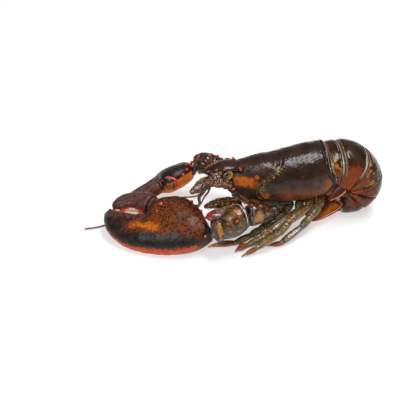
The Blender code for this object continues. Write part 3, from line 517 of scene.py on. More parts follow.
# The back shell's outline at x: y and z at turn, 0 at the top and 1 at the belly. y is the half width times
# the sine of half a circle times turn, z is the middle height plus or less the height above or below it
# times the cosine, and powers a little under 1 make these quarter ovals boxy.
def shellSection(x, turn):
    top, middle = curveAt(backShell["top"], x), curveAt(backShell["middle"], x)
    bottom, half = curveAt(backShell["bottom"], x), curveAt(backShell["halfWidth"], x)
    angle = math.pi * turn
    y = half * signedPower(np.sin(angle), 0.9)
    upper = middle + (top - middle) * np.maximum(np.cos(angle), 0) ** 0.95
    lower = middle - (middle - bottom) * np.abs(np.minimum(np.cos(angle), 0)) ** 0.85
    return y, np.where(angle < math.pi / 2, upper, lower)


# One side of the back shell: x runs from the front to the rear edge by share, and as both edges lean with
# height, x and height are worked out in turns.
def shellSide(share, turn, side):
    x = backShell["socketX"] + (backShell["rearX"] - backShell["socketX"]) * share + 0 * turn
    for _ in range(4):
        y, z = shellSection(x, turn)
        front = frontEdge(z)
        x = front + (rearEdge(z, side * y) - front) * share
    return np.stack([x, side * y, z], -1)


# The whole ring: both sides, and under them the rim, the recess inside it and the breast between the legs.
def shellRings(share):
    turn = np.linspace(0, backShell["reach"], backShell["columns"])[None]
    under = np.linspace(0, 1, 25)[None, 1:]
    factors = curveAt(((0, (1, 0, 0)), (0.2, (0.86, 1.5, 0)), (0.55, (0.46, 1.5, 0)),
                       (0.75, (0.34, 0, 1)), (1, (0, 0, 1))), under)
    halves = []
    for side in (1, -1):
        outer = shellSide(share[:, None], turn, side)
        edge = outer[:, -1:]
        drop = curveAt(backShell["breast"], edge[..., 0])
        inner = np.stack([edge[..., 0] + 0 * under, edge[..., 1] * factors[..., 0],
                          edge[..., 2] + factors[..., 1] - drop * factors[..., 2]], -1)
        halves.append(np.concatenate([outer, inner], 1))
    turns = np.concatenate([turn[0], np.full(24, 1.0), np.full(23, 1.0), turn[0][:0:-1]])
    return np.concatenate([halves[0], halves[1][:, -2:0:-1]], 1), turns


# The back shell: its rings, moved out of themselves by the groove across the back, the lip along the rear
# edge, the cheek and soft waves. The beak and the mouth are limbs, and the spines are studs.
def makeBackShell():
    share = np.linspace(0, 1, backShell["rows"])
    grid, turns = shellRings(share)
    x, y, z = grid[..., 0], grid[..., 1], grid[..., 2]
    turn = turns + 0 * x
    near = np.abs(y)
    shown = turn < 0.9
    rear = rearEdge(z, y) - x  # millimetres in front of the rear edge
    groove = x - curveAt(backShell["groove"], turn)
    cut = shown * hill(groove, 1.5) * (0.45 + 0.55 * rise(0.02, 0.2, turn))
    height = -backShell["grooveDepth"] * cut + 0.2 * shown * hill(groove - 3.4, 2.4)
    height += 0.2 * shown * hill(groove + 3.6, 2.6) + 0.05 * shown * waves(grid, 1.6, 6)
    height -= 0.12 * hill(y, 1.2) * shown * (z > 50)  # the line along the middle of the back
    height += -0.8 * hill(rear - 3.6, 0.8) + 0.25 * hill(rear - 1.4, 1.0)  # the lip along the rear edge
    height += shown * (0.22 * waves(grid, 16.0, 3) + 0.07 * waves(grid, 4.0, 4))
    height += 1.0 * shown * hill(x + 30, 9) * hill(z - 52, 8) * (near > 10)  # the cheek
    lowerLip = shown * hill(turn - 0.735, 0.012)
    height -= 0.6 * lowerLip
    patch = hill(x + 36.5, 11) * hill(z - 61.0 + 0.2 * (x + 36), 4.2) * (near > 9)  # orange, behind the eye
    besideGroove = rise(0.14, 0.22, turn) * rise(0.4, 1.0, waves(grid, 1.9, 11))
    masks = {
        # Of the warm marks, the one that grows down the lower flank (below a height of 64) is partly the
        # shell's own warmer lower side and partly a painted sheen of the floor's light reflected on it.
        "warm": shown * (1.5 * patch * (0.78 + 0.5 * waves(grid, 6, 13))
                + 1.5 * hill(x + 19.5, 4.6) * hill(z - 45, 3.4)
                + 1.4 * hill(x + 25.1, 1.7) * hill(z - 64.4, 1.2)
                + 0.38 * rise(64, 40, z) * rise(-30, 8, x) + 0.3 * hill(x - 46, 6) * hill(z - 50, 10)
                + 0.3 * rise(-20, -34, x) * rise(60, 40, z)),
        "olive": (0.8 * shown * hill(groove - 2.0, 7.5) * rise(0.1, 0.22, turn)
                  * rise(-0.5, 0.7, waves(grid, 3, 8))),
        "dull": shown * np.clip(0.85 * rise(-14, -26, x) + 0.6 * rise(-0.1, 0.8, waves(grid, 3.5, 14))
                                + 0.5 * rise(50, 42, z), 0, 1),
        "teal": hill(rear - 2.6, 1.5) * rise(64, 57, z) + 0.9 * lowerLip,
        # Of the pale marks, the short streak in the groove near the top of the flank (turn 0.2) is a painted
        # highlight; the pale rear edge and the flecks beside the groove are the shell's own.
        "pale": (rear < 0.9) * rise(56, 62, z) + shown * (
                1.2 * hill(groove + 1.2, 1.3) * hill(turn - 0.2, 0.03)
                + 0.85 * hill(groove - 2.5, 7.0) * besideGroove),
        # Of the dark marks, the whole underside inside the rim (turn above 0.9) is painted shade, the shade
        # under the body.
        "dark": 1.2 * hill(rear - 1.9, 0.6) * rise(56, 62, z)
                + 0.9 * (hill(rear - 4.4, 0.7) + hill(rear - 1.0, 0.5)) * rise(62, 56, z)
                + 0.8 * cut * rise(0.3, 0.6, turn) + (turn > 0.9) * 0.7,
        "plain": hill(x + 37, 10) * hill(z - 61, 3.6),
    }
    grid = raised(grid, height)
    # Both ends are closed by the same outline drawn in towards its middle, lying on the edge's own surface.
    ends = []
    for ring, edgeX, offset in ((grid[0], lambda q: frontEdge(q[..., 2]), 1.5),
                                (grid[-1], lambda q: rearEdge(q[..., 2], q[..., 1]), -1.4)):
        inset = np.array([0.985, 0.94, 0.8, 0.5, 0.2])[:, None, None]
        rows = ring.mean(0) * (1 - inset) + ring[None] * inset
        rows[..., 0] = edgeX(rows) + offset
        ends.append(rows)
    whole = np.concatenate([ends[0][::-1], grid, ends[1]])
    padded = {name: np.pad(np.broadcast_to(m, grid.shape[:2]), ((5, 5), (0, 0))) for name, m in masks.items()}
    # Painted shade: both closing ends are painted fully dark, as the shade in the hollow of the shell.
    padded["dark"][:5], padded["dark"][-5:] = 1.0, 1.0
    shapes = [closedSkin(whole, padded)]
    beak, t, turn = limb(*backShell["beak"], 70, 40)
    edge = np.abs(np.cos(turn))
    height = 0.5 * rise(0.85, 1.0, edge) - 0.5 * hill(np.sin(turn) - 1, 0.25) + 0.1 * waves(beak, 4, 9)
    beak = raised(beak, height)  # raised edges with a hollow between them
    streaks = hill(edge - 0.55, 0.12) * rise(0.0, 0.6, waves(beak, 7, 10)) + rise(0.95, 1.0, t)
    shapes.append(closedSkin(beak, {"rim": 0.45 * streaks, "warm": 0.25 * rise(0.4, 1, t)}))
    mouth = limb(*backShell["mouth"], 40, 32, (1, 0, 0))[0]
    shapes.append(closedSkin(raised(mouth, 0.5 * waves(mouth, 6, 12)), {"olive": 0.6, "warm": 0.4}))
    spines = [(*mirrored([place, direction], side), radius, length)
              for side, _ in sides for place, direction, radius, length in backShell["spines"]]
    places, directions, radii, lengths = [np.array(column, float) for column in zip(*spines)]
    tips = np.linspace(-0.2, 1.6, 9)[:, None]
    shapes.append(studs(places, directions, radii, lengths, 1.15, 1.2, 14, 9, {"rim": tips}))
    addPiece("backShell", shapes, finishes["back"], ("carapace",))


makeBackShell()
print("back shell ready")

# Tail: rings that curl about one point, seen from the side, and swing to the animal's left.
tail = {
    "rows": 44, "columns": 46, "underColumns": 26,
    "curl": (69.0, 32.0), "swing": math.radians(10), "swingX": 50.0,
    "back": ((-90, 33.0), (-45, 36.5), (0, 39.0), (45, 39.5), (90, 42.5)),  # its distance from that point
    "straightStep": 0.72, "backHeight": 16.5, "bellyDepth": 8.5, "plateTip": 3.6, "tuck": 1.8, "gap": 0.5,
    # Start and end angle round the curl, and half width at both.
    "rings": ((101, 60, 24.2, 24.0), (60, 22, 24.0, 23.0), (22, -14, 23.0, 22.0),
              (-14, -48, 22.0, 20.8), (-48, -90, 20.8, 18.0)),
    "firstHalfWidth": 24.6,
}


def swung(points):  # turned about the tail's root to the animal's left
    x, y = points[..., 0] - tail["swingX"], points[..., 1]
    c, s = math.cos(tail["swing"]), math.sin(tail["swing"])
    return np.stack([tail["swingX"] + x * c + y * s, y * c - x * s, points[..., 2]], -1)


# The tail's middle at an angle round the curl, the outward and rearward directions, and the radius there.
def tailFrame(angle):
    a = np.radians(np.minimum(angle, 90))
    zero = 0 * a
    outward = np.stack([np.cos(a), zero, np.sin(a)], -1)
    along = np.stack([np.sin(a), zero, -np.cos(a)], -1)
    radius = curveAt(tail["back"], np.minimum(angle, 90)) - tail["backHeight"]
    start = tail["curl"][0] - np.maximum(0, angle - 90) * tail["straightStep"]
    centre = np.stack([start, zero, zero + tail["curl"][1]], -1)
    return centre + outward * radius[..., None], outward, along, radius


# Rings of one tail plate: an arch over the back, side plates that narrow to a rounded tip, and the belly. On
# the arch a point lies the half width times the sine of its angle to the side and the top's height times the
# cosine, to the power 0.9, above the middle; below it a table gives both. halfWidth, top and depth are one
# value per row.
def plateRings(angle, halfWidth, top, depth, shift):
    middle, outward, along, _ = tailFrame(angle)
    middle = middle + along * shift[:, None]
    arch = np.radians(np.linspace(0, 84, tail["columns"]))[None]
    under = np.linspace(0, 1, tail["underColumns"] + 1)[None, 1:]
    # Half width, share of the plate's depth and share of the belly's depth below the middle.
    low = curveAt(((0, (0.995, -0.08, 0)), (0.18, (1.0, 0.3, 0)), (0.38, (0.97, 0.68, 0)),
                   (0.5, (0.93, 0.92, 0)), (0.57, (0.87, 1.0, 0)), (0.64, (0.8, 0.9, 0)),
                   (0.74, (0.72, 0.4, 0.5)), (0.85, (0.5, 0, 1)), (1, (0, 0, 1))), under)
    y = np.concatenate([halfWidth[:, None] * np.sin(arch), halfWidth[:, None] * low[..., 0]], 1)
    h = np.concatenate([top[:, None] * np.cos(arch) ** 0.9,
                        -(depth[:, None] * low[..., 1] + tail["bellyDepth"] * low[..., 2])], 1)
    column = np.concatenate([np.linspace(0, 1, arch.shape[1]), 1 + under[0]])
    y = np.concatenate([y, -y[:, -2:0:-1]], 1)
    h = np.concatenate([h, h[:, -2:0:-1]], 1)
    column = np.concatenate([column, column[-2:0:-1]])
    points = middle[:, None] + outward[:, None] * h[..., None]
    points[..., 1] += y
    return swung(points), column + 0 * y


# One tail plate's masks: at its front the bare joint facet with white, teal and orange bands, at its rear
# a dark line and a pale edge, and warm side plates with a dark edge.
def plateMasks(grid, share, column, seed, options):
    noise = waves(grid, 5.0, seed)
    side = rise(0.64, 1.12, column + 0.07 * noise) * (column < 1.68)
    back = rise(options["bandEnd"] + 0.14, options["bandEnd"] - 0.13, column + 0.06 * noise)
    facet = back * rise(0.45, 0.6, column) + back * 0.75
    tip = hill(column - 1.57, 0.09)
    rearLine = options["edge"] * (share > 0.972) * (column < 1.3) * rise(-0.9, 0.3, noise)
    return {
        "pale": facet * (0.9 * hill(share - options["white"], 0.014) + rearLine),
        "teal": facet * 1.1 * hill(share - options["teal"], 0.028) + 0.8 * hill(share - 0.935, 0.02) * side,
        "olive": facet * hill(share - options["orange"], 0.03) * (0.9 + 0.5 * noise)
                 + options["mottle"] * back * rise(0.35, 0.6, column) * rise(0.2, 0.8, noise),
        # The belly (column above 1.72) is painted dark: painted shade inside the curl.
        "dark": (1.1 * hill(share - 0.95, 0.014) * back + 0.75 * (column > 1.72)
                 + 0.5 * hill(share - 0.17, 0.02) * back),
        "rim": 1.15 * tip * rise(0.15, 0.5, share) * (column < 1.64) + options["belly"] * (column > 1.72),
        "warm": (side * (options["side"] + 0.4 * noise) * rise(1.0, 0.93, share)
                 + options["back"] * (1 - side)),
    }


# The plates' looks. White, teal and orange are the shares of a plate's length where those bands lie, bandEnd
# is how far down they run (0 top, 1 side plate, 2 belly), and the rest say how strong the flecks, the warm
# colour of side, back and belly, and the pale line at the rear are.
plateLook = {"white": 0.05, "teal": 0.1, "orange": 0.15, "mottle": 0.0, "side": 0.45, "back": 0.1,
             "belly": 0.3, "bandEnd": 1.11, "edge": 1.1}
firstPlateLook = {**plateLook, "white": 0.1, "teal": 0.04, "orange": 0.2, "mottle": 0.7, "side": 0.6,
                  "belly": 0.4}
plateLooks = (
    {**plateLook, "white": 0.055, "side": 0.85},
    {**plateLook, "orange": 0.145, "mottle": 1.0, "side": 0.6, "back": 0.08},
    {**plateLook, "mottle": 0.6, "side": 0.5, "bandEnd": 1.0},
    {**plateLook, "mottle": 0.5, "back": 0.12, "bandEnd": 0.75},
    {**plateLook, "mottle": 0.3, "back": 0.15, "bandEnd": 0.7, "edge": 0.0},
)


# A tail plate: its rings, tucked in at the front under the plate before it, with a groove behind the bare
# facet and another along the rear edge, and a ridge and a hollow along the top of each side plate.
def makeTailPlate(k, ring):
    start, end, firstWidth, lastWidth = ring
    share = np.concatenate([np.linspace(0, 0.25, 26)[:-1], np.linspace(0.25, 0.9, tail["rows"])[:-1],
                            np.linspace(0.9, 1, 16)])
    angle = start + (end - start) * share
    tucked = tail["tuck"] * np.maximum(0, 1 - share / 0.22) ** 1.5
    halfWidth = firstWidth + (lastWidth - firstWidth) * share - tucked
    reach = tailFrame(angle)[3] - tail["plateTip"]
    depth = reach * (0.66 + 0.34 * np.sin(math.pi * (0.2 + 0.6 * share)))
    shift = tail["gap"] * (0.5 - share)
    grid, column = plateRings(angle, halfWidth, tail["backHeight"] - tucked, depth, shift)
    s = share[:, None] + 0 * column
    back = column < 1.6
    height = back * (-0.45 * hill(s - 0.175, 0.018) - 0.35 * hill(s - 0.945, 0.014)
                     + 0.12 * waves(grid, 9, k))
    height += 0.35 * hill(column - 1.12, 0.1) * rise(0.2, 0.4, s)
    height -= 0.5 * hill(column - 1.3, 0.12) * rise(0.25, 0.5, s)
    masks = plateMasks(grid, s, column, 20 + k, plateLooks[k])
    addPiece(f"tailPlate{k + 2}", [closedSkin(raised(grid, height), masks)], finishes["tail"],
             (f"tail_ring_{k + 2}",))


# The first plate: straight lines from the back shell's rear edge to the second plate's front ring, closed in
# front by the same outline drawn in towards its middle.
def makeFirstPlate():
    share = np.linspace(0, 1, 40)
    tucked = tail["tuck"] * np.maximum(0, 1 - share / 0.3) + 0.4
    one = np.ones(40)
    points, column = plateRings(tail["rings"][0][0] * one, tail["firstHalfWidth"] - tucked,
                                tail["backHeight"] - tucked, 12.0 + 3.0 * share, -tail["gap"] / 2 * one)
    front = points.copy()
    front[..., 0] = rearEdge(points[..., 2], points[..., 1]) + 1.0
    s = share[:, None] + 0 * column
    grid = front + (points - front) * s[..., None]
    masks = plateMasks(grid, s, column, 19, firstPlateLook)
    masks["olive"] = masks["olive"] + 0.8 * hill(column - 0.8, 0.12) * hill(s - 0.5, 0.25)
    inset = np.array([0.95, 0.6, 0.25])[::-1, None, None]
    cap = grid[0].mean(0) * (1 - inset) + grid[0][None] * inset
    cap[..., 0] = rearEdge(cap[..., 2], cap[..., 1]) + 1.0
    height = 0.1 * waves(grid, 7, 31) - 0.4 * hill(s - 0.9, 0.03) * (column < 1.6)
    whole = np.concatenate([cap, raised(grid, height)])
    padded = {name: np.pad(m, ((3, 0), (0, 0)), mode="edge") for name, m in masks.items()}
    addPiece("tailPlate1", [closedSkin(whole, padded)], finishes["tail"], ("tail_ring_1",))


makeFirstPlate()
for k, ring in enumerate(tail["rings"]):
    makeTailPlate(k, ring)
print("tail ready")

# Claws. The tables are in shares of a claw's length: the outer and inner edge and half the thickness of the
# palm and its fixed finger, the line of the moving finger, and its half width and thickness.
claws = {
    "hinge": 0.56,
    "outer": ((0, -0.09), (0.05, -0.16), (0.17, -0.24), (0.38, -0.292), (0.56, -0.297), (0.7, -0.276),
              (0.84, -0.215), (0.94, -0.13), (0.985, -0.055), (1.0, 0.005)),
    "inner": ((0, -0.02), (0.06, 0.06), (0.15, 0.175), (0.26, 0.255), (0.38, 0.285), (0.5, 0.26),
              (0.535, 0.235), (0.565, 0.15), (0.6, 0.075), (0.66, 0.052), (0.85, 0.058), (0.93, 0.074),
              (0.962, 0.086), (0.985, 0.062), (1.0, 0.03)),
    "thick": ((0, 0.085), (0.1, 0.13), (0.3, 0.165), (0.52, 0.158), (0.64, 0.125), (0.82, 0.1), (0.94, 0.068),
              (1.0, 0.022)),
    "fingerLine": ((0.575, 0.165), (0.655, 0.19), (0.75, 0.198), (0.848, 0.173), (0.91, 0.13), (0.938, 0.09)),
    "fingerWide": ((0, 0.085), (0.12, 0.102), (0.4, 0.088), (0.7, 0.07), (0.9, 0.044), (1, 0.012)),
    "fingerThick": ((0, 0.09), (0.12, 0.112), (0.4, 0.095), (0.7, 0.07), (0.9, 0.042), (1, 0.012)),
    # Teeth: first and last place along the finger, and a table of their sizes in millimetres.
    "palmTeeth": (0.625, 0.965, ((0.62, 2.3), (0.68, 3.4), (0.75, 3.7), (0.84, 2.8), (0.97, 1.3))),
    "fingerTeeth": (0.2, 0.92, ((0.2, 2.0), (0.35, 3.0), (0.5, 3.3), (0.7, 2.5), (0.92, 1.2))),
    "teeth": 12,
    # Each claw's wrist and tip, how far it rolls in degrees, its factors and its palm's share of the length.
    # Beads lie at a share of the length and an angle round the palm from its inner edge, in degrees.
    "left": {"side": -1, "wrist": (-69.5, -22.5, 18.5), "tip": (-159.0, 35.5, 13.0), "tilt": 22.0,
             "breadth": 1.0, "thickness": 1.0, "palm": 0.56, "fuller": 0.0,
             "beads": ((0.08, 24), (0.13, 24), (0.18, 22), (0.235, 20), (0.3, 20))},
    "right": {"side": 1, "wrist": (-60.0, 62.3, 32.5), "tip": (-139.5, 60.0, 5.5), "tilt": 31.0,
              "breadth": 0.76, "thickness": 0.74, "palm": 0.43, "fuller": 1.5,
              "beads": ((0.005, 60), (0.055, 42), (0.14, 18), (0.23, 4), (0.03, 20))},
    # The near claw's smaller beads: shares along, towards the inner edge and out, radius and length.
    "smallBeads": ((0.484, 0.028, 0.162, 1.3, 1.4), (0.472, 0.114, 0.146, 1.9, 1.7),
                   (0.03, -0.12, 0.075, 1.3, 1.6)),
}


# A claw's directions and length: along it, towards its inner edge and out of its upper face.
def clawAxes(claw):
    wrist, tip = np.array(claw["wrist"]), np.array(claw["tip"])
    length = np.linalg.norm(tip - wrist)
    along = (tip - wrist) / length
    level = unit(np.array([0, 0, 1.0]) - along * along[2])
    inner = np.cross(level, along) * claw["side"]
    c, s = math.cos(math.radians(claw["tilt"])), math.sin(math.radians(claw["tilt"]))
    return wrist, length, along, inner * c + level * s, level * c - inner * s


# Points of a claw given in shares of its length. The palm's part of the shares is squeezed or stretched to
# the claw's own palm share.
def clawPlace(claw, t, inner, out):
    wrist, length, along, inward, upper = clawAxes(claw)
    hinge = claws["hinge"]
    t = np.where(t < hinge, t * claw["palm"] / hinge, 1 - (1 - t) * (1 - claw["palm"]) / (1 - hinge))
    steps = (t[..., None] * along + (inner * claw["breadth"])[..., None] * inward
             + (out * claw["thickness"])[..., None] * upper)
    return wrist + steps * length


beads = []  # the red beads of claws and arms, gathered into one piece at the end


# Blunt pale teeth on the cutting edge: domes at places, pointing along direction.
def clawTeeth(claw, places, direction, size, flat):
    length = clawAxes(claw)[1]
    size = size * length / 108 * min(1.0, claw["breadth"] + 0.1)
    return studs(places, np.repeat(direction[None], claws["teeth"], 0), size, size * flat, 2.0, 0.2, 14, 8,
                 {"pale": 1.5})


# The palm and its fixed finger: at each share of the length an oval from the outer to the inner edge, the
# middle plus the half breadth times the cosine of its turn, and half the thickness times the sine, to the
# power 0.92, out. Moved out of itself by waves, a crease inside the inner edge, the lip of the cutting edge
# and a groove along the finger.
def makePalm(word):
    claw, columns = claws[word], 120
    t = np.concatenate([np.linspace(0, 0.5, 70)[:-1], np.linspace(0.5, 0.62, 40)[:-1],
                        np.linspace(0.62, 1, 64)])  # closer rows at the hinge and along the finger
    turn = np.arange(columns) * math.tau / columns
    outer, inner = curveAt(claws["outer"], t)[:, None], curveAt(claws["inner"], t)[:, None]
    half = curveAt(claws["thick"], t)[:, None]
    c, s = np.cos(turn)[None], np.sin(turn)[None]
    across = (outer + inner) / 2 + (inner - outer) / 2 * c
    out = half * signedPower(s, 0.92)
    tt = t[:, None] + 0 * across
    grid = clawPlace(claw, tt, across, out)
    finger = rise(0.56, 0.64, tt)  # 1 along the fixed finger
    height = 0.25 * waves(grid, 14, 41) + 0.1 * waves(grid, 4.5, 42)
    height += -0.7 * hill(across - (inner - 0.03), 0.012) * (1 - finger) * (s > 0) * rise(0.3, 0.45, tt)
    height += 0.5 * hill(c - 0.96, 0.05) * finger * (1 + 0.6 * np.sin(tt * 210))  # the cutting edge's lip
    height += claw["fuller"] * rise(0.02, 0.14, tt) * rise(0.64, 0.46, tt)
    height += -0.8 * hill(across + 0.06, 0.03) * finger * (s > 0) * rise(0.98, 0.8, tt)
    outside = rise(-0.88, -1.0, c + 0.02 * waves(grid, 3, 44)) * (0.85 + 0.15 * waves(grid, 6, 45))
    upperFace = s > -0.15
    warmPalm = rise(-0.22, -0.12, across) * rise(0.64, 0.5, tt) * rise(0.0, 0.08, tt)
    warmPalm = warmPalm * (1 - 0.55 * rise(0.08, 0.2, across))
    ragged = 0.025 * waves(grid, 9, 43)
    patch = hill(across + 0.118 + ragged, 0.07) * rise(0.28, 0.5, tt) * rise(0.88, 0.62, tt)
    if word == "left":
        warm = upperFace * (0.6 * warmPalm + 0.2 * rise(0.05, 0.1, across) * (1 - finger) + 1.1 * patch)
        underside = 0.85 * rise(-0.1, -0.5, s)
        olive = upperFace * 0.56 * patch**1.5
    else:
        warm = 0.28 * upperFace * warmPalm
        underside = 0.95 * rise(0.05, -0.25, s)
        olive = 1.1 * rise(0.1, -0.25, s + 0 * tt) * rise(0.9, 0.6, tt)
    masks = {
        "warm": warm + underside * rise(1.0, 0.8, tt),
        "plain": upperFace * 0.35 * patch**2 + rise(-0.1, -0.5, s) * 0.8,
        "olive": olive,
        "rim": (0.75 * outside * rise(0.75, 0.1, s) * rise(-0.02, 0.14, tt)
                + 1.3 * finger * rise(0.86, 0.96, c) * rise(0.585, 0.62, tt)
                + (word == "right") * hill(tt, 0.014)),
        "dark": upperFace * 0.5 * rise(-0.16, -0.22, across) * (1 - outside),
        # The mauve-grey on the fixed finger's upper face: partly the claw's own tone, partly a painted sheen.
        "mauveSheen": (upperFace * (0.5 + 0.12 * waves(grid, 5, 46)) * rise(0.46, 0.6, tt)
                  * rise(-0.1, 0.0, across)),
    }
    shapes = [closedSkin(raised(grid, height), masks)]
    t, rowAngle = np.array(claw["beads"]).T
    rowAngle = np.radians(rowAngle)
    along, inward, upper = clawAxes(claw)[2:]
    outer, inner = curveAt(claws["outer"], t), curveAt(claws["inner"], t)
    edge = (outer + inner) / 2 + (inner - outer) / 2 * np.cos(rowAngle)
    places = clawPlace(claw, t, edge, curveAt(claws["thick"], t) * np.sin(rowAngle))
    lean = inward * np.cos(rowAngle)[:, None] + upper * np.sin(rowAngle)[:, None] - along * 0.3
    beads.append(studs(places + lean * 0.8 * claw["fuller"], lean, 1.75, 2.3, 2.0, 0.3, 14, 9))
    if word == "left":
        t, inner, out, radius, size = np.array(claws["smallBeads"]).T
        directions = np.stack([upper, upper, -along])
        beads.append(studs(clawPlace(claw, t, inner, out), directions, radius, size, 2.0, 0.3, 14, 9))
    first, last, sizes = claws["palmTeeth"]
    t = np.linspace(first, last, claws["teeth"])
    places = clawPlace(claw, t, curveAt(claws["inner"], t) - 0.012, 0 * t)
    shapes.append(clawTeeth(claw, places, inward, curveAt(sizes, t) * (0.85 + 0.25 * np.sin(t * 90)), 0.85))
    addPiece(f"clawPalm{word.capitalize()}", shapes, finishes["claw"], (f"claw_{word}",))


# The moving finger: ovals along its line, half the width times the cosine of their turn across it and half
# the thickness times the sine, to the power 0.95, out. Moved out of itself by waves, the lip of the cutting
# edge, a groove beside it and a crease at the hinge.
def makeFinger(word):
    claw = claws[word]
    _, length, _, inward, upper = clawAxes(claw)
    t = np.linspace(0, 1, 110)
    line = [(k / 5, clawPlace(claw, *np.array([*p, 0.0]))) for k, p in enumerate(claws["fingerLine"])]
    ahead = curveAt(line, np.minimum(t + 0.02, 1)) - curveAt(line, np.maximum(t - 0.02, 0))
    across = unit(np.cross(ahead, upper))
    turn = np.arange(84) * math.tau / 84
    wide = curveAt(claws["fingerWide"], t) * claw["breadth"] * length
    thick = curveAt(claws["fingerThick"], t) * claw["thickness"] * length
    inside = np.sign((across[0] * inward).sum())
    c, s = np.cos(turn)[None], np.sin(turn)[None]
    grid = (curveAt(line, t)[:, None] + across[:, None] * (wide[:, None] * c)[..., None]
            + upper * (thick[:, None] * signedPower(s, 0.95))[..., None])
    toGap = -c * inside + 0 * t[:, None]  # 1 at the cutting edge
    tt = t[:, None] + 0 * toGap
    height = 0.2 * waves(grid, 12, 51) + 0.08 * waves(grid, 4, 52) + 0.45 * hill(toGap - 0.97, 0.04)
    height -= 0.6 * hill(toGap - 0.55, 0.16) * rise(0.1, 0.3, tt) * (s > 0)
    height -= 0.8 * hill(tt - 0.05, 0.02)
    masks = {
        "rim": 1.3 * rise(0.9, 0.98, toGap) * rise(0.1, 0.2, tt) + 0.2 * hill(tt - 0.02, 0.02),
        "warm": (s > 0) * (0.3 * rise(0.6, 0.1, tt) + 0.28 * rise(-0.4, 0.6, waves(grid, 8, 53)))
                + 0.9 * rise(-0.1, -0.5, s + 0 * tt),
        "plain": 0.7 * rise(0.2, -0.3, s + 0 * tt),
        "dark": 0.8 * hill(tt - 0.05, 0.02),
        # The mauve-grey over the finger's upper part: partly the claw's own tone, partly a painted sheen.
        "mauveSheen": (s > -0.2) * (0.55 + 0.15 * waves(grid, 5, 54)),
    }
    shapes = [closedSkin(raised(grid, height), masks)]
    first, last, sizes = claws["fingerTeeth"]
    t = np.linspace(first, last, claws["teeth"])
    edge = curveAt(claws["fingerWide"], t) * claw["breadth"] * length
    places = curveAt(line, t) - inward * (edge - 0.6)[:, None]
    shapes.append(clawTeeth(claw, places, -inward, curveAt(sizes, t) * (0.85 + 0.25 * np.cos(t * 80)), 0.8))
    addPiece(f"clawFinger{word.capitalize()}", shapes, finishes["claw"], (f"finger_{word}",))


for word in ("left", "right"):
    makePalm(word)
    makeFinger(word)
print("claws ready")

# Small shapes that many pieces share. The view directions are those of the side that the camera sees.
seen = {"across": np.array([0.951, -0.309, 0.0]), "up": np.array([0.177, 0.546, 0.819]),
        "out": np.array([-0.253, -0.779, 0.574])}


# A closed oval body: a ball stretched by three half sizes along across, over and out, with soft relief.
def oval(centre, sizes, axes=None, relief=0.0, size=3.0, masks=None, rows=26, columns=32, seed=5):
    across, over, out = axes if axes else (seen["across"], seen["up"], seen["out"])
    tilt = np.linspace(-0.98, 0.98, rows)[:, None] * math.pi / 2
    turn = (np.arange(columns) * math.tau / columns)[None]
    u, v, w = np.cos(tilt) * np.cos(turn), np.cos(tilt) * np.sin(turn), np.sin(tilt) + 0 * turn
    grid = (np.array(centre, float) + u[..., None] * sizes[0] * np.array(across, float)
            + v[..., None] * sizes[1] * np.array(over, float)
            + w[..., None] * sizes[2] * np.array(out, float))
    if relief:
        grid = raised(grid, relief * waves(grid, size, seed))
    return closedSkin(grid, {name: m(grid) if callable(m) else m + 0 * w
                             for name, m in (masks or {}).items()})


# A round cord along a path, with rounded ends.
def cord(path, radius, masks=None, rows=60, columns=14, up=(0.3, 0.2, 1)):
    table = radius if isinstance(radius, tuple) else ((0, radius), (1, radius))
    grid, t, _ = limb(path, table, table, rows, columns, up, 1.0, (table[0][1], table[-1][1]))
    return closedSkin(grid, {name: m(t) if callable(m) else m + 0 * t for name, m in (masks or {}).items()})


# Points on an oval arc in the plane of two directions, from one angle to another in degrees.
def arcPath(centre, across, over, halfWide, halfHigh, start, end, count=12):
    angle = np.radians(np.linspace(start, end, count))[:, None]
    return list(np.array(centre, float) + np.cos(angle) * halfWide * np.array(across, float)
                + np.sin(angle) * halfHigh * np.array(over, float))


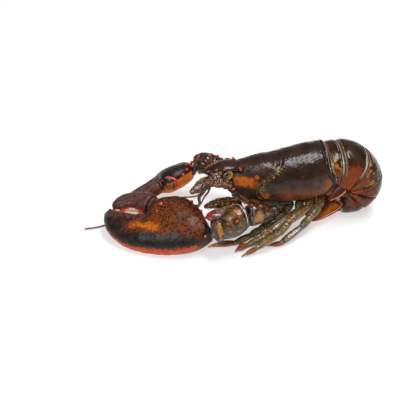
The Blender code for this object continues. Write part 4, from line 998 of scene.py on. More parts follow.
# Arms, three segments each. A segment's row holds its path, its half widths and half heights along it, and
# the places and directions of its red beads.
arms = {
    "rows": 90, "columns": 72, "roundness": 0.95, "bead": 1.6,
    "base": {
        "left": ([(3, -10, 27), (-1, -15.5, 26), (-4.6, -19.2, 25.6)], ((0, 4.5), (0.5, 5.2), (1, 4.6)),
                 ((0, 4.5), (0.5, 5.2), (1, 4.6)), ()),
        "right": ([(3, 10, 27), (-1, 15.5, 26), (-6, 21, 26.5)], ((0, 4.5), (0.5, 5.2), (1, 4.8)),
                  ((0, 4.5), (0.5, 5.2), (1, 4.8)), ()),
    },
    "upper": {
        "left": ([(-6.5, -21, 25), (-17, -25.5, 27.5), (-28, -28.5, 31), (-38, -29.5, 32.5)],
                 ((0, 4.5), (0.3, 6.5), (0.8, 9), (1, 8)), ((0, 4.8), (0.3, 7.2), (0.8, 10.5), (1, 9.5)),
                 (((-26, -30, 41), (-0.5, 0, 1)), ((-20, -34, 33), (-0.4, -1, 0.6)))),
        "right": ([(-7.2, 22.5, 27), (-16, 33, 30.5), (-25, 44, 34.5), (-32, 52.5, 36)],
                  ((0, 4.6), (0.3, 6.8), (0.8, 8.5), (1, 7.5)), ((0, 5), (0.3, 7.5), (0.8, 9.5), (1, 8.5)),
                  (((-20, 38, 41.5), (0, -0.3, 1)), ((-28, 47, 45), (0, -0.3, 1)))),
    },
    "wrist": {
        "left": ([(-41, -29.8, 33), (-48.8, -30.8, 32), (-57.5, -28.5, 27.5), (-67.5, -23.5, 20.5)],
                 ((0, 9.5), (0.2, 12.5), (0.6, 15), (0.85, 13.5), (1, 9)),
                 ((0, 10), (0.2, 13), (0.6, 14.5), (0.85, 12.5), (1, 8.5)),
                 (((-50, -23, 43), (-0.4, 0.5, 1)), ((-57, -20.5, 39), (-0.4, 0.5, 1)),
                  ((-46, -33, 44.5), (0, -0.3, 1)), ((-57, -31, 42), (-0.2, -0.4, 1)),
                  ((-53, -42, 38), (0, -1, 0.7)), ((-60, -39.5, 31.5), (-0.3, -1, 0.5)))),
        "right": ([(-34.3, 54.6, 34.5), (-41.5, 59, 35), (-50, 61.5, 36), (-58.3, 61.9, 33.5)],
                  ((0, 7.5), (0.3, 9.5), (0.7, 11.5), (1, 8)), ((0, 6.5), (0.3, 9), (0.7, 10.6), (1, 8)),
                  (((-38, 56, 46), (0, -0.3, 1)), ((-46, 58, 47), (-0.4, -0.3, 1)))),
    },
    # Small beads added on the near wrist, beside the ones above.
    "smallBeads": (((-55.3, -27.6, 43.6), (-0.2, -0.2, 1)), ((-61.5, -35.5, 38.2), (-0.4, -0.6, 0.7)),
                   ((-66.0, -42.0, 26.5), (-0.5, -0.8, 0.3)), ((-34.0, -28.9, 43.0), (0, -0.2, 1))),
    # The red knobs: the near wrist's path and half widths, the far wrist's centre and half sizes.
    "knobPath": ((-57.0, -28.0, 36.5), (-63.5, -26.4, 36.6), (-69.0, -25.0, 36.2), (-72.0, -24.0, 35.4)),
    "knobWidths": ((0, 7.2), (0.5, 6.0), (1, 4.4)),
    "farKnob": ((-55.0, 63.5, 41.6), (5.6, 4.6, 4.8)),
    # Soft skin between the near wrist and the claw, and the arcs and skins at the far claw's hinge.
    "skinCentre": (-69.6, -36.0, 27.4),
    "redArc": ((-92.0, 50.3, 35.6), (-88.6, 48.5, 35.2), (-85.2, 46.3, 34.0), (-83.2, 44.6, 31.5),
               (-83.0, 43.6, 28.4), (-85.2, 43.6, 25.0), (-87.0, 44.4, 22.8)),
    "tealArc": ((-93.5, 50.3, 34.8), (-90.5, 48.8, 34.0), (-87.8, 46.8, 32.0), (-86.4, 45.0, 29.0),
                (-87.6, 44.8, 25.0)),
    "hingeSkin": ((-90.4, 48.0, 29.0), (4.2, 6.4, 2.6)),
    "farSkin": ((-60.5, 60.0, 33.0), (2.2, 6.6, 6.4)),
}


# A soft round spot: 1 at a place, fading over a width.
def spot(grid, place, width):
    return hill(np.linalg.norm(grid - place, axis=-1), width)


# One arm segment: ovals along its path with collars at its rear end, coloured bands round them, mottling,
# and beads on it. Bands lie at shares t of its length.
def armSegment(part, word, seed):
    path, widths, heights, marks = arms[part][word]
    grid, t, turn = limb(path, widths, heights, arms["rows"], arms["columns"], upward, arms["roundness"],
                         (1.2, 1.2))
    wrist = part == "wrist"
    band = (1.0 if word == "left" else 0.35) if wrist else 0.5
    height = 0.35 * waves(grid, 9, seed) + 0.14 * waves(grid, 3.2, seed + 1)
    height += -0.9 * hill(t - 0.12, 0.022) - 0.7 * hill(t - 0.2, 0.02) - 0.6 * hill(t - 0.93, 0.02)
    height += 0.4 * hill(t - 0.16, 0.02) + 0.4 * hill(t - 0.06, 0.03)
    mottle = rise(0.0, 0.9, 0.6 * waves(grid, 6, seed + 2) + 0.7 * waves(grid, 2.6, seed + 5))
    mottle = mottle * (1.0 if word == "left" else 0.55)
    masks = {
        "warm": 0.75 * mottle * rise(0.2, 0.26, t) + 0.15 * rise(0.22, 0.3, t) * wrist,
        "dark": band * (hill(t - 0.12, 0.02) + 0.9 * hill(t - 0.2, 0.012)) + 0.5 * hill(t - 0.93, 0.02),
        "pale": band * 1.1 * hill(t - 0.16, 0.014) * rise(-0.5, 0.4, np.sin(turn)),
        "teal": (band * 1.1 * (t < 0.08)
                 + 0.5 * rise(0.5, 0.9, waves(grid, 5, seed + 3)) * rise(0.25, 0.35, t)),
        "olive": 0.5 * rise(0.5, 0.9, waves(grid, 7, seed + 4)) * rise(0.25, 0.35, t),
    }
    if part == "upper" and word == "left":
        masks["olive"] = masks["olive"] + 1.2 * spot(grid, (-30.0, -35.0, 33.0), 5.5)
        masks["teal"] = masks["teal"] + 1.1 * spot(grid, (-19.0, -33.0, 30.0), 4.0)
    if wrist and word == "left":  # a dark notch beside the knob, and a warm swelling
        notch, swelling = spot(grid, (-65.0, -34.6, 35.0), 3.6), (-50.8, -36.6, 42.5)
        masks["dark"] = masks["dark"] + 0.9 * notch
        height = height - 1.6 * notch + 0.8 * spot(grid, swelling, 6.0)
        masks["warm"] = masks["warm"] + 0.35 * spot(grid, swelling, 7.0)
    shapes = [closedSkin(raised(grid, height), masks)]
    if marks:
        places, directions = np.array([m[0] for m in marks], float), np.array([m[1] for m in marks], float)
        beads.append(studs(places, directions, arms["bead"], arms["bead"] * 1.4, 1.7, 0.8, 14, 9))
    return shapes


# The wrists' knobs and soft skins. The near knob tapers along its path; the skin is two ovals side by side,
# each with a teal cord on an arc round it; the far hinge is two cords round an oval.
def makeSkins():
    widths = arms["knobWidths"]
    grid, t, turn = limb(arms["knobPath"], widths, widths, 40, 40, upward, 1.0, (1.0, 4.2))
    shapes = [closedSkin(raised(grid, 0.25 * waves(grid, 5, 71)), {"olive": rise(0.66, 0.42, t) + 0 * turn}),
              oval(*arms["farKnob"], None, 0.2, 4.0, {"warm": 0.6})]
    addPiece("wristKnobs", shapes, finishes["knob"])
    right, up, out = seen["across"], seen["up"], seen["out"]
    centre = np.array(arms["skinCentre"])
    lean = unit(up - 0.12 * right)
    shapes = [oval(centre, (6.3, 9.6, 4.4), (unit(right + 0.12 * up), lean, out), 0.3, 4.0,
                   {"olive": lambda g: 0.45 * rise(-0.6, 0.6, waves(g, 6, 75)),
                    "warm": lambda g: 0.5 * rise(-0.2, 0.6, waves(g, 4, 74))}),
              oval(centre + right * 2.4 + out * 1.4, (3.7, 8.2, 4.4), (right, lean, out), 0.25, 5.0,
                   {"olive": lambda g: 0.9 * rise(-1.2, 0.6, waves(g, 5, 76)), "warm": 1.1, "plain": 0.9})]
    rim = arcPath(centre + out * 3.6 + right * 0.6, right, lean, 6.4, 9.9, 70, -115)
    shapes.append(cord(rim, ((0, 0.5), (0.5, 1.1), (1, 0.5)), {"teal": 1.5}))
    inner = arcPath(centre + out * 4.4 + right * 1.9, right, lean, 3.9, 8.6, 112, 246)
    shapes.append(cord(inner, ((0, 0.3), (0.5, 0.7), (1, 0.3)), {"teal": 1.5}))
    addPiece("wristSkinLeft", shapes, finishes["arm"])
    centre, sizes = arms["hingeSkin"]
    shapes = [cord(np.array(arms["redArc"]) + out * 1.2, ((0, 0.8), (0.4, 1.4), (1, 0.8)), {"rim": 1.0}),
              cord(np.array(arms["tealArc"]) + out * 1.2, ((0, 0.8), (0.5, 1.4), (1, 0.7)), {"teal": 1.4}),
              oval(centre + out, sizes, None, 0.25, 4.0, {"warm": 0.9, "plain": 0.5}),
              oval(*arms["farSkin"], None, 0.3, 4.0, {"teal": 0.8, "dark": 0.3})]
    addPiece("clawHingeRight", shapes, finishes["arm"])


def makeArms():
    for word in ("left", "right"):
        for k, part in enumerate(("base", "upper", "wrist")):
            shapes = armSegment(part, word, 60 + 7 * k + (word == "right"))
            if part == "wrist" and word == "left":
                places, directions = zip(*arms["smallBeads"])
                beads.append(studs(places, directions, 1.2, 1.5, 2.0, 0.4, 12, 7))
            addPiece(f"arm{part.capitalize()}{word.capitalize()}", shapes, finishes["arm"],
                     (f"arm_{part}_{word}",))
    makeSkins()
    addPiece("redBeads", beads, finishes["bead"])


makeArms()
print("arms ready")

# Legs: root, hip, knee, wrist, ankle and toe of each, and half the thickness of the five segments between.
legs = {
    "rows": 46, "columns": 34, "flat": 0.92,
    "clawed": 2, "hairs": 140,  # how many pairs end in a small claw, and hairs on each last segment
    "thickness": ((4, 4.4, 3.6), (3.6, 4.2, 3.6), (3.4, 3.9, 3.3), (3, 3.5, 2.8), (2.4, 2.2, 0.5)),
    "left": (
        ((14, -8.5, 23), (6.7, -15.1, 18), (-23.9, -28.3, 13), (-34.4, -30.6, 9.5), (-51, -32.6, 6),
         (-75, -27, 3.5)),
        ((23, -9, 24), (18.3, -18.6, 19), (-19.9, -37.4, 13.5), (-26.8, -37.9, 10), (-41, -38.4, 5),
         (-53, -39.8, 2)),
        ((33, -9, 25), (27, -21.6, 23), (2.2, -36.6, 23), (-12.2, -43.6, 15), (-34.5, -46.5, 6.5),
         (-49.6, -48, 1.5)),
        ((45, -9, 24), (40, -18.5, 20), (26.5, -28.6, 16.5), (15.4, -34, 10.5), (-9.4, -43.8, 4),
         (-21, -40.3, 1.5)),
    ),
    "right": (
        ((14, 8.5, 23), (7, 16, 18.5), (-8, 37, 19), (-14, 43, 14), (-20, 46, 7), (-26, 40, 2.5)),
        ((23, 9, 24), (18, 19, 20.5), (8, 41, 20), (2, 48, 13), (-4, 52, 6), (-12, 49, 2)),
        ((32, 9, 25), (29, 21, 22), (22, 43, 21), (17, 51, 13), (12, 55, 6), (5, 54, 1.7)),
        ((44, 9, 25), (42, 18, 22), (36, 41, 18), (31, 48, 11), (25, 53, 5), (17, 53, 1.5)),
    ),
}


# One leg segment: ovals between two joints, a little thicker near the far end, with a collar there, long
# streaks round it and a shallow groove along its side. The last segment's tip is red.
def legSegment(start, end, thickness, last, seed):
    start, end = np.array(start, float), np.array(end, float)
    near, middle, far = thickness
    widths = ((0, near * 0.82), (0.12, near), (0.5, middle), (0.88, far * 1.06),
              (1, far * (0.55 if last else 0.86)))
    heights = tuple((t, w * legs["flat"]) for t, w in widths)
    grid, t, turn = limb([start, (start + end) / 2, end], widths, heights, legs["rows"], legs["columns"],
                         upward, 0.94, (1.0, 0.6 if last else 1.3))
    skin = np.stack([np.cos(turn) * 2.2, np.sin(turn) * 2.2, t * 0.8 + seed], -1)  # stretched along the leg
    streak = waves(skin, 1.7, seed)
    height = 0.18 * streak + 0.1 * waves(grid, 2.5, seed + 1)
    height += -0.35 * hill(np.cos(turn - 0.6), 0.18) * rise(0.1, 0.25, t) * rise(0.95, 0.8, t)
    masks = {
        "olive": 0.8 * rise(0.1, 0.9, streak) * (t < 0.9),
        "dark": 0.7 * rise(0.5, 1.0, -streak) * (t < 0.85),
        "warm": 0.5 * rise(0.3, 1.0, waves(grid, 7, seed + 2)),
        "pale": 0.55 * rise(0.8, 1.3, waves(skin, 1.1, seed + 3)) * rise(0.2, 0.4, t) * (t < 0.85),
    }
    if last:
        masks["warm"] = masks["warm"] + 0.7
        masks["rim"] = 1.1 * rise(0.5, 0.95, t)
    else:
        height += -0.5 * hill(t - 0.9, 0.025) + 0.3 * hill(t - 0.96, 0.03)
        masks["dark"] = masks["dark"] + 0.8 * hill(t - 0.9, 0.02)
        masks["rim"] = 0.6 * hill(t - 0.97, 0.02)
        masks["teal"] = 0.6 * hill(t - 0.85, 0.03)
    return closedSkin(raised(grid, height), masks)


# A leg: five segments from joint to joint. The first two pairs end in a small claw, so they have a thumb as
# well, a cord bowed out beside the last segment. Short hairs stand on the last segment.
def makeLegs():
    for word in ("left", "right"):
        for k, joints in enumerate(legs[word]):
            shapes = [legSegment(joints[i], joints[i + 1], thickness, i == 4, 80 + 9 * k + i)
                      for i, thickness in enumerate(legs["thickness"])]
            ankle, toe = np.array(joints[4], float), np.array(joints[5], float)
            forward = unit(toe - ankle)
            across = unit(np.cross(forward, upward))
            if k < legs["clawed"]:
                thumb = [ankle + across * 0.6, ankle + (toe - ankle) * 0.4 + across * 3.4,
                         ankle + (toe - ankle) * 0.9 + across * 1.6]
                shapes.append(cord(thumb, ((0, 2.2), (0.5, 1.7), (1, 0.4)),
                                   {"warm": 0.7, "rim": lambda t: 1.1 * rise(0.5, 0.9, t)}, 30, 18))
            draw, count = np.random.default_rng(100 + k), legs["hairs"]
            share = draw.uniform(0.0, 1.0, (count, 1))
            spin = draw.uniform(0, math.tau, (count, 1))
            over = np.cross(across, forward)
            out = np.cos(spin) * across + np.sin(spin) * over
            roots = ankle + (toe - ankle) * share + out * (1.9 * (1 - 0.7 * share))
            lengths = draw.uniform(1.0, 2.2, count)
            shapes.append(hairs(roots, out + forward * 1.2, lengths, 0.11, 0.2, {"warm": 0.6}))
            addPiece(f"leg{word.capitalize()}{k + 1}", shapes, finishes["leg"],
                     (f"leg_{word}_{k + 1}",))


makeLegs()
print("legs ready")

# Head: eyes, the feelers' roots, the feelers, the mouth legs and the cheeks, as paths and half widths.
head = {
    "eye": ((-53.5, 9.5, 67.5), 3.4),  # centre and radius
    "stalk": ((-48.6, 8.6, 65.2), (-50.5, 9, 66.2), (-52.5, 9.4, 67)),
    "rootWidths": ((0, 4.4), (0.3, 4.4), (0.42, 4), (0.62, 4.8), (0.8, 3.8), (1, 2.6)),
    "roots": {"left": ((-49.5, -11, 57.5), (-55.5, -11.6, 59.8), (-62, -10, 61.4), (-68, -7.5, 60.2)),
              "right": ((-49.5, 10.5, 52), (-60, 11.5, 52), (-71, 9, 49), (-81, 5, 45))},
    "whip": ((-70, -7, 58.2), (-73, -6, 51.5), (-76, -2, 43), (-72.5, 9, 26), (-77, 22, 11), (-92, 34, 5),
             (-110, 42, 3), (-128, 44, 2.2), (-146, 42, 1.7), (-162, 37.5, 1.4), (-178, 38.5, 1.2)),
    "whipRadius": ((0, 1.7), (0.5, 1.25), (1, 0.8)),
    "short": {"left": ((-53, -3.5, 58.5), (-60, -2.5, 56), (-67, -0.5, 50.5), (-77, 3.2, 41.3),
                       (-89, 12, 36.5)),
              "right": ((-53, 4, 60), (-60, 3, 58.5), (-66, 0.5, 46), (-69.5, 2.5, 39), (-73, 1, 33))},
    "shortRadius": ((0, 2.2), (0.25, 1.9), (0.35, 1.1), (1, 0.6)),
    "mouthLeg": ((-37, 6.2, 30), (-46, 6.8, 31.5), (-57, 6, 33), (-68, 4, 32.5)),
    "mouthDrop": {"left": 0, "right": 6},  # the far one hangs lower
    "mouthWidths": ((0, 4), (0.3, 4.6), (0.7, 3.6), (1, 1.8)),
    "cheek": ((-43, 9.5, 46.5), (-33, 13, 39.5), (-20, 15.5, 33.5), (-4, 15.5, 29.5), (10, 14, 27)),
    # Lumps of the short feelers' bases beside the near eye, as centre and half sizes.
    "lumps": (((-60.5, 8.2, 65.6), (4.6, 3.6, 3.4)), ((-65.2, 6.4, 64.0), (3.4, 3.2, 3.0)),
              ((-57.4, 10.2, 62.6), (3.8, 3.0, 3.4)), ((-62.5, 7.2, 68.0), (2.8, 2.0, 2.4))),
    # Small spines on the near feeler's root: place, direction, radius and length.
    "faceSpines": (((-68.6, -5.2, 63.4), (-0.8, -0.5, 0.5), 1.1, 2.2),
                   ((-70.2, -7.2, 60.6), (-1, -0.4, 0.1), 1.1, 2.2),
                   ((-64.8, -10.2, 60.4), (-0.6, -1, 0.2), 1.1, 1.8),
                   ((-50.3, -15.4, 56.8), (-0.9, 0.35, 0.12), 1.5, 9.5)),
}


# Each eye is a ball, a little flatter upwards, on a short cord as its stalk. Its socket is a cord on an oval
# arc with a flat oval behind it.
def makeEyes():
    for side, word in sides:
        right, up, out = [v * np.array([1, -side, 1]) for v in (seen["across"], seen["up"], seen["out"])]
        place, radius = head["eye"]
        place = np.array([place[0], place[1] * side, place[2]])
        stalk = cord(mirrored(head["stalk"], side), ((0, 2), (0.5, 2.4), (1, 2.8)), {"warm": 0.9}, 24, 24)
        axes = (right, up, out)
        ball = oval(place, (radius, radius * 0.96, radius), axes, 0, 3, {"dark": 0.4}, 40, 48)
        addPiece(f"eye{word.capitalize()}", [stalk, ball], finishes["eye"], (f"eye_{word}",))
        # The tan ring of skin round the socket, wider in front than behind.
        rim = arcPath(place - out * 1.0 + right * 0.2 + up * 0.4, right, up, 6.0, 3.9, -160, 165, 16)
        skin = [cord(rim, ((0, 0.6), (0.4, 0.9), (0.8, 1.3), (1, 0.7)), {"olive": 1.1, "warm": 0.5}),
                oval(place - out * 2.6 - right * 1.6, (4.6, 3.4, 2.6), axes, 0.25, 2.5,
                     {"olive": 0.9, "dark": lambda g: 0.6 * rise(0.2, 0.8, waves(g, 3, 90))})]
        addPiece(f"socket{word.capitalize()}", skin, finishes["head"])


# A feeler's root is a limb of ovals with two grooved joints, with knobbly ovals beside it, and on the near
# side spines and a leaf-shaped scale: a flat limb, widest at the middle.
def makeFeelers():
    for side, word in sides:
        path = head["roots"][word]
        grid, t, turn = limb(path, head["rootWidths"], head["rootWidths"], 90, 60, upward, 1.0, (1.5, 1.5))
        joints = hill(t - 0.42, 0.02) + hill(t - 0.82, 0.02)
        mottle = waves(grid, 3.6, 91)
        height = -0.7 * joints + 0.4 * waves(grid, 4.5, 92) + 0.15 * waves(grid, 1.8, 93)
        masks = {"dark": 0.9 * joints + 0.5 * rise(0.2, 0.9, mottle),
                 "warm": 0.9 * rise(-0.2, 0.6, -mottle),
                 "pale": 0.6 * rise(0.7, 1.1, waves(grid, 2.4, 94))}
        shapes = [closedSkin(raised(grid, height), masks)]
        for i, (centre, sizes) in enumerate(head["lumps"]):
            centre = (centre[0], centre[1] * side, centre[2])
            shapes.append(oval(centre, sizes, ((1, 0, 0), (0, 1, 0), (0, 0, 1)), 0.4, 2.6, {
                "olive": lambda g: 0.8 * rise(-0.1, 0.7, waves(g, 3.0, 95)),
                "dark": lambda g: 1.0 * rise(0.0, 0.6, -waves(g, 2.2, 96)),
                "pale": lambda g: 0.8 * rise(0.5, 1.0, waves(g, 1.8, 97))}, 30, 36, 95 + i))
        if word == "left":
            for place, direction, radius, length in head["faceSpines"]:
                tips = np.linspace(-0.4, 1.6, 9)[:, None]
                shapes.append(studs([place], [direction], radius, length, 1.2, 0.8, 12, 9, {"rim": tips}))
            leaf, t, turn = limb([(-65.0, -8.2, 60.5), (-75.0, -8.0, 58.0), (-84.9, -6.8, 54.0)],
                                 ((0, 2.2), (0.45, 4.6), (0.8, 3.4), (1, 0.7)),
                                 ((0, 1.6), (0.5, 1.1), (1, 0.4)), 50, 40, seen["out"], 1.0, (0.5, 0.5))
            leafMasks = {"dark": 0.5 * rise(-0.4, 0.4, waves(leaf, 4, 98)), "rim": 0.8 * rise(0.9, 1.0, t)}
            shapes.append(closedSkin(raised(leaf, 0.12 * waves(leaf, 3, 98)), leafMasks))
        addPiece(f"feelerRoot{word.capitalize()}", shapes, finishes["head"],
                 (f"feeler_root_{word}",))
    # The feelers: rings of ovals so close that they show as fine ridges.
    runs = [("feelerWhipLeft", "feeler_whip_left", head["whip"], head["whipRadius"], 900)]
    for word in ("left", "right"):
        runs.append((f"feelerShort{word.capitalize()}", f"feeler_short_{word}", head["short"][word],
                     head["shortRadius"], 360))
    for name, cadNode, path, radius, rows in runs:
        grid, t, _ = limb(path, radius, radius, rows, 14, (0.3, 0.2, 1), 1.0, (0.6, 0.6))
        ridge = np.sin(t * rows * math.tau / 6)
        masks = {"warm": 0.5 * rise(0.0, 1.0, ridge) + 0.3 * rise(0.0, 0.3, t),
                 "dark": 0.35 * rise(0.2, 1.0, -ridge)}
        addPiece(name, [closedSkin(raised(grid, 0.07 * ridge), masks)], finishes["feeler"],
                 (cadNode,))


# Mouth legs: a tapering leg with joints, a row of small teeth above and bristles below.
def makeMouthLegs():
    for side, word in sides:
        path = [(p[0], p[1] * side, p[2] - head["mouthDrop"][word]) for p in head["mouthLeg"]]
        widths = head["mouthWidths"]
        grid, t, _ = limb(path, widths, widths, 80, 48, upward, 1.0, (1.0, 1.0))
        joints = hill(t - 0.36, 0.02) + hill(t - 0.66, 0.02) + hill(t - 0.86, 0.015)
        mottle = waves(grid, 5, 101)
        masks = {"warm": 0.9 * rise(-0.6, 0.4, mottle), "dark": 0.7 * joints + 0.5 * rise(0.4, 1.0, -mottle)}
        shapes = [closedSkin(raised(grid, -0.5 * joints + 0.3 * waves(grid, 4, 102)), masks)]
        draw = np.random.default_rng(103)
        t = draw.uniform(0.05, 0.98, 420)
        centre, forward, across, over = pathFrames(path, t)
        spin = draw.uniform(0, math.tau, 420)[:, None]
        out = np.cos(spin) * across + np.sin(spin) * over
        roots = centre + out * (curveAt(widths, t) * 0.9)[:, None]
        lengths = draw.uniform(1.2, 3.0, 420)
        shapes.append(hairs(roots, out + forward * 0.7, lengths, 0.13, 0.3, {"warm": 0.8}))
        t = np.linspace(0.15, 0.9, 14)
        centre, forward, across, over = pathFrames(path, t)
        roots = centre + over * (curveAt(widths, t) * 0.9)[:, None]
        shapes.append(studs(roots, over + forward * 0.5, 0.7, 1.6, 1.1, 0.5, 8, 6, {"rim": 0.3, "warm": 0.8}))
        addPiece(f"mouthLeg{word.capitalize()}", shapes, finishes["head"],
                 (f"mouth_leg_{word}",))


# The soft parts under the front of the back shell, between its lower rim and the mouth legs.
def makeCheeks():
    for side, word in sides:
        grid, t, _ = limb(mirrored(head["cheek"], side), ((0, 3.2), (0.4, 4.6), (1, 4.2)),
                             ((0, 4.0), (0.4, 5.4), (1, 4.4)), 80, 48, upward, 1.0, (2.0, 2.0))
        mottle = waves(grid, 6, 111)
        masks = {"warm": 0.75 * rise(-0.3, 0.6, mottle) * rise(0.75, 0.45, t),
                 "dark": 0.6 * rise(0.3, 0.9, -mottle) + 0.4 * rise(0.5, 0.8, t),
                 "teal": 0.8 * rise(0.6, 0.8, t) * rise(-0.2, 0.5, mottle)}
        shapes = [closedSkin(raised(grid, 0.4 * waves(grid, 5, 112) - 0.5 * hill(t - 0.42, 0.02)), masks)]
        addPiece(f"cheek{word.capitalize()}", shapes, finishes["head"])


makeEyes()
makeCheeks()
makeFeelers()
makeMouthLegs()
print("head ready")

# Tail fan, folded under, and the striped flaps inside the curl. Paths swing with the tail.
fan = {
    "rows": 60, "columns": 60, "roundness": 0.8, "ribs": 9,
    # Each blade's path, half widths along it and half thickness.
    "telson": (((67.9, 0, 3.6), (57, 0, 2.2), (43, 0, 1.7), (33, 0, 1.7)),
               ((0, 9), (0.4, 10), (0.85, 8.5), (1, 5)), 2.0),
    "inner": (((67.6, 7, 8.8), (57, 9.5, 6.8), (44, 11, 6), (33, 12, 5.8)),
              ((0, 4), (0.35, 7), (0.8, 7.5), (1, 4.5)), 1.5),
    "outer": (((67.4, 10, 13.4), (58, 14.5, 10.6), (46, 17.5, 7.8), (33, 20.5, 4.8)),
              ((0, 3.5), (0.35, 6.5), (0.8, 7.5), (1, 4.5)), 1.4),
    # The flap's and the lobe's path, half widths and half heights, and the skin's centre and half sizes.
    "flap": (((63, 12.5, 37), (57, 13, 32), (51.5, 13, 26.5)), ((0, 1.1), (0.5, 1.3), (1, 0.7)),
             ((0, 2), (0.45, 4.6), (1, 1))),
    "lobe": (((61.5, 20.5, 36.5), (55.5, 20.3, 31), (49, 19.8, 25.5)), ((0, 4.8), (0.5, 4.4), (1, 1.4)),
             ((0, 1.2), (1, 0.8))),
    "skin": ((68.0, 15.0, 31.0), (6.0, 6.0, 4.0)),
}


# A fan blade: a flat oval along its path with ribs that spread to its edge, a red and a pale rim, a teal
# joint near its root and a fringe of hairs at its end.
def makeBlade(name, cadNode, side, blade):
    path, widths, thickness = blade
    path = swung(np.array(mirrored(path, side)))
    heights = ((0, thickness), (0.5, 0.9 * thickness), (1, 0.45 * thickness))
    grid, t, turn = limb(path, widths, heights, fan["rows"], fan["columns"], upward, fan["roundness"],
                         (0.8, 0.8))
    edge = np.abs(np.cos(turn)) ** fan["roundness"]
    ribs = np.cos(np.cos(turn) * math.pi * fan["ribs"])
    height = 0.14 * ribs * rise(0.1, 0.3, t) * rise(1.0, 0.8, edge) - 0.25 * hill(t - 0.12, 0.02)
    paleLine = hill(edge - 0.84, 0.06)
    masks = {"rim": rise(0.52, 0.66, edge) * (1 - 1.2 * paleLine) + hill(t - 0.93, 0.03),
             "pale": 1.2 * paleLine + (t > 0.97), "warm": 0.5 * rise(-0.2, 1.0, ribs),
             "teal": 0.9 * hill(t - 0.1, 0.04), "dark": 0.25 * rise(0.3, 1.0, -ribs)}
    centre, forward, across, _ = pathFrames(path, np.array([1.0]))
    share = np.linspace(-0.95, 0.95, 90)[:, None]
    roots = centre + across * share * widths[-1][1] + forward * (0.8 * np.sqrt(1 - share**2) - 0.2)
    fringe = hairs(roots, forward + across * share * 0.5, 2.2, 0.1, 0.1, {"pale": 0.6})
    addPiece(name, [closedSkin(raised(grid, height), masks), fringe], finishes["fan"],
             (cadNode,))


# The five blades, and inside the curl on each side a flat limb with stripes across it, a wider one with
# stripes along it, and an oval of soft skin.
def makeFan():
    makeBlade("telson", "telson", 1, fan["telson"])
    for side, word in sides:
        for part in ("inner", "outer"):
            makeBlade(f"fan{part.capitalize()}{word.capitalize()}", f"fan_{part}_{word}", side, fan[part])
        path, widths, heights = fan["flap"]
        path = swung(np.array(mirrored(path, side)))
        grid, t, turn = limb(path, widths, heights, 60, 40, upward, 1.0, (0.5, 0.5))
        stripes = np.cos(t * math.tau * 13)
        masks = {"rim": 0.5 * rise(-0.2, 0.8, stripes), "dark": 0.8 * rise(0.0, 1.0, -stripes), "warm": 0.6}
        addPiece(f"tailFlap{word.capitalize()}", [closedSkin(raised(grid, 0.12 * stripes), masks)],
                 finishes["fan"], (f"swimmeret_{word}",))
        # A flat lobe beside it, with stripes along its length and an orange lower edge.
        path, widths, heights = fan["lobe"]
        facing = seen["out"] * np.array([1, -side, 1])
        grid, t, turn = limb(mirrored(path, side), widths, heights, 50, 60, facing, 1.0, (0.8, 0.8))
        over = np.cos(turn) * -side
        stripes = np.cos(over * 26)
        edge = rise(-0.72, -0.9, over)
        masks = {"rim": 0.55 + 0.3 * stripes * (1 - edge) - 0.5 * edge, "pale": 0.7 * rise(-0.9, -1.0, over),
                 "dark": (0.3 + 0.6 * rise(-0.4, 0.6, -stripes)) * (1 - edge), "warm": 0.9 * edge}
        addPiece(f"tailLobe{word.capitalize()}", [closedSkin(raised(grid, 0.12 * stripes), masks)],
                 finishes["fan"])
        # Soft brown skin behind the tips of the tail's side plates, at the middle of the curl.
        centre, sizes = fan["skin"]
        skin = oval(swung(np.array(mirrored([centre], side)[0])), sizes, None, 0.4, 4.0, {"dark": 0.35})
        addPiece(f"curlSkin{word.capitalize()}", [skin], finishes["tail"])


makeFan()
print("fan ready")

# Floor, light and camera. The camera looks from the animal's left and a little from its head.
studio = {
    "azimuth": math.radians(-18), "elevation": math.radians(35), "distance": 0.95, "lens": 90.0,
    "target": (np.array([-70.0, 14.0, 28.0]) - partOrigin) * millimetre,
    "world": 0.16, "floor": 0.52, "floorGlow": 0.55,  # the floor glows a little, as a light table does
    "floorReach": 6.0, "floorGap": 0.0002,  # metres to each side, and below the part
    # Softboxes: name, place, width, height and power. The first is the key, the second fills from the front.
    "lights": (("overhead softbox", (0.6, 0.0, 2.1), 1.2, 0.8, 37.0),
               ("front softbox", (-1.2, -1.1, 1.4), 0.9, 0.9, 17.0)),
}


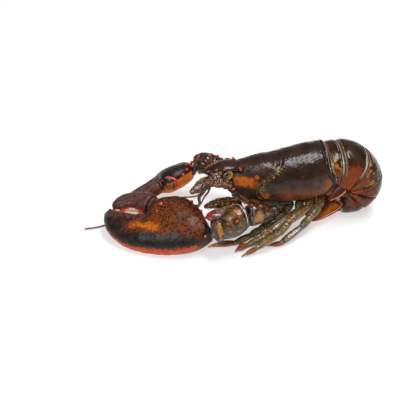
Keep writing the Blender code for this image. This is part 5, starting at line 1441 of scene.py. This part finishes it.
# A rectangular lamp at a place, turned to shine on the part's origin.
def softbox(name, place, width, height, power):
    light = bpy.data.lights.new(name, "AREA")
    light.shape, light.size, light.size_y, light.energy = "RECTANGLE", width, height, power
    lamp = bpy.data.objects.new(name, light)
    bpy.context.scene.collection.objects.link(lamp)
    lamp.location = place
    aim = unit(np.array(place, float))
    lamp.rotation_euler = (math.acos(aim[2]), 0, math.atan2(aim[0], -aim[1]))
    return lamp


# The white room, the two lamps, the paper floor, and the camera, which looks at the target from its azimuth
# (0 is square on to the animal's left side, below 0 is nearer its head) and its elevation.
def makeStudio():
    scene = bpy.context.scene
    scene.view_settings.view_transform = "Standard"
    scene.world = scene.world or bpy.data.worlds.new("studio")
    scene.world.use_nodes = True
    background = scene.world.node_tree.nodes["Background"]
    background.inputs["Color"].default_value = (1.0, 1.0, 1.0, 1)
    # The room looks white behind the floor and lights the part softly.
    straight = node(scene.world.node_tree, "ShaderNodeLightPath").outputs["Is Camera Ray"]
    strength = maths(scene.world.node_tree, "MAXIMUM", straight, studio["world"])
    scene.world.node_tree.links.new(strength, background.inputs["Strength"])
    for row in studio["lights"]:
        softbox(*row)
    mesh = bpy.data.meshes.new("floor")
    corners = [(x * studio["floorReach"], y * studio["floorReach"], -studio["floorGap"])
               for x, y in ((-1, -1), (1, -1), (1, 1), (-1, 1))]
    mesh.from_pydata(corners, [], [(0, 1, 2, 3)])
    paper = bpy.data.materials.new("paper floor")
    paper.use_nodes = True
    sockets = paper.node_tree.nodes["Principled BSDF"].inputs
    sockets["Base Color"].default_value = (*[studio["floor"]] * 3, 1)
    sockets["Roughness"].default_value = 0.8
    sockets["Emission Color"].default_value = (1, 1, 1, 1)
    sockets["Emission Strength"].default_value = studio["floorGlow"]
    mesh.materials.append(paper)
    floor = bpy.data.objects.new("floor", mesh)
    scene.collection.objects.link(floor)
    a, e = studio["azimuth"], studio["elevation"]
    back = np.array([math.sin(a) * math.cos(e), -math.cos(a) * math.cos(e), math.sin(e)])
    data = bpy.data.cameras.new("camera")
    data.lens = studio["lens"]
    camera = bpy.data.objects.new("camera", data)
    scene.collection.objects.link(camera)
    camera.location = studio["target"] + back * studio["distance"]
    camera.rotation_euler = (math.pi / 2 - e, 0, a)
    scene.camera = camera


makeStudio()
print("studio ready")
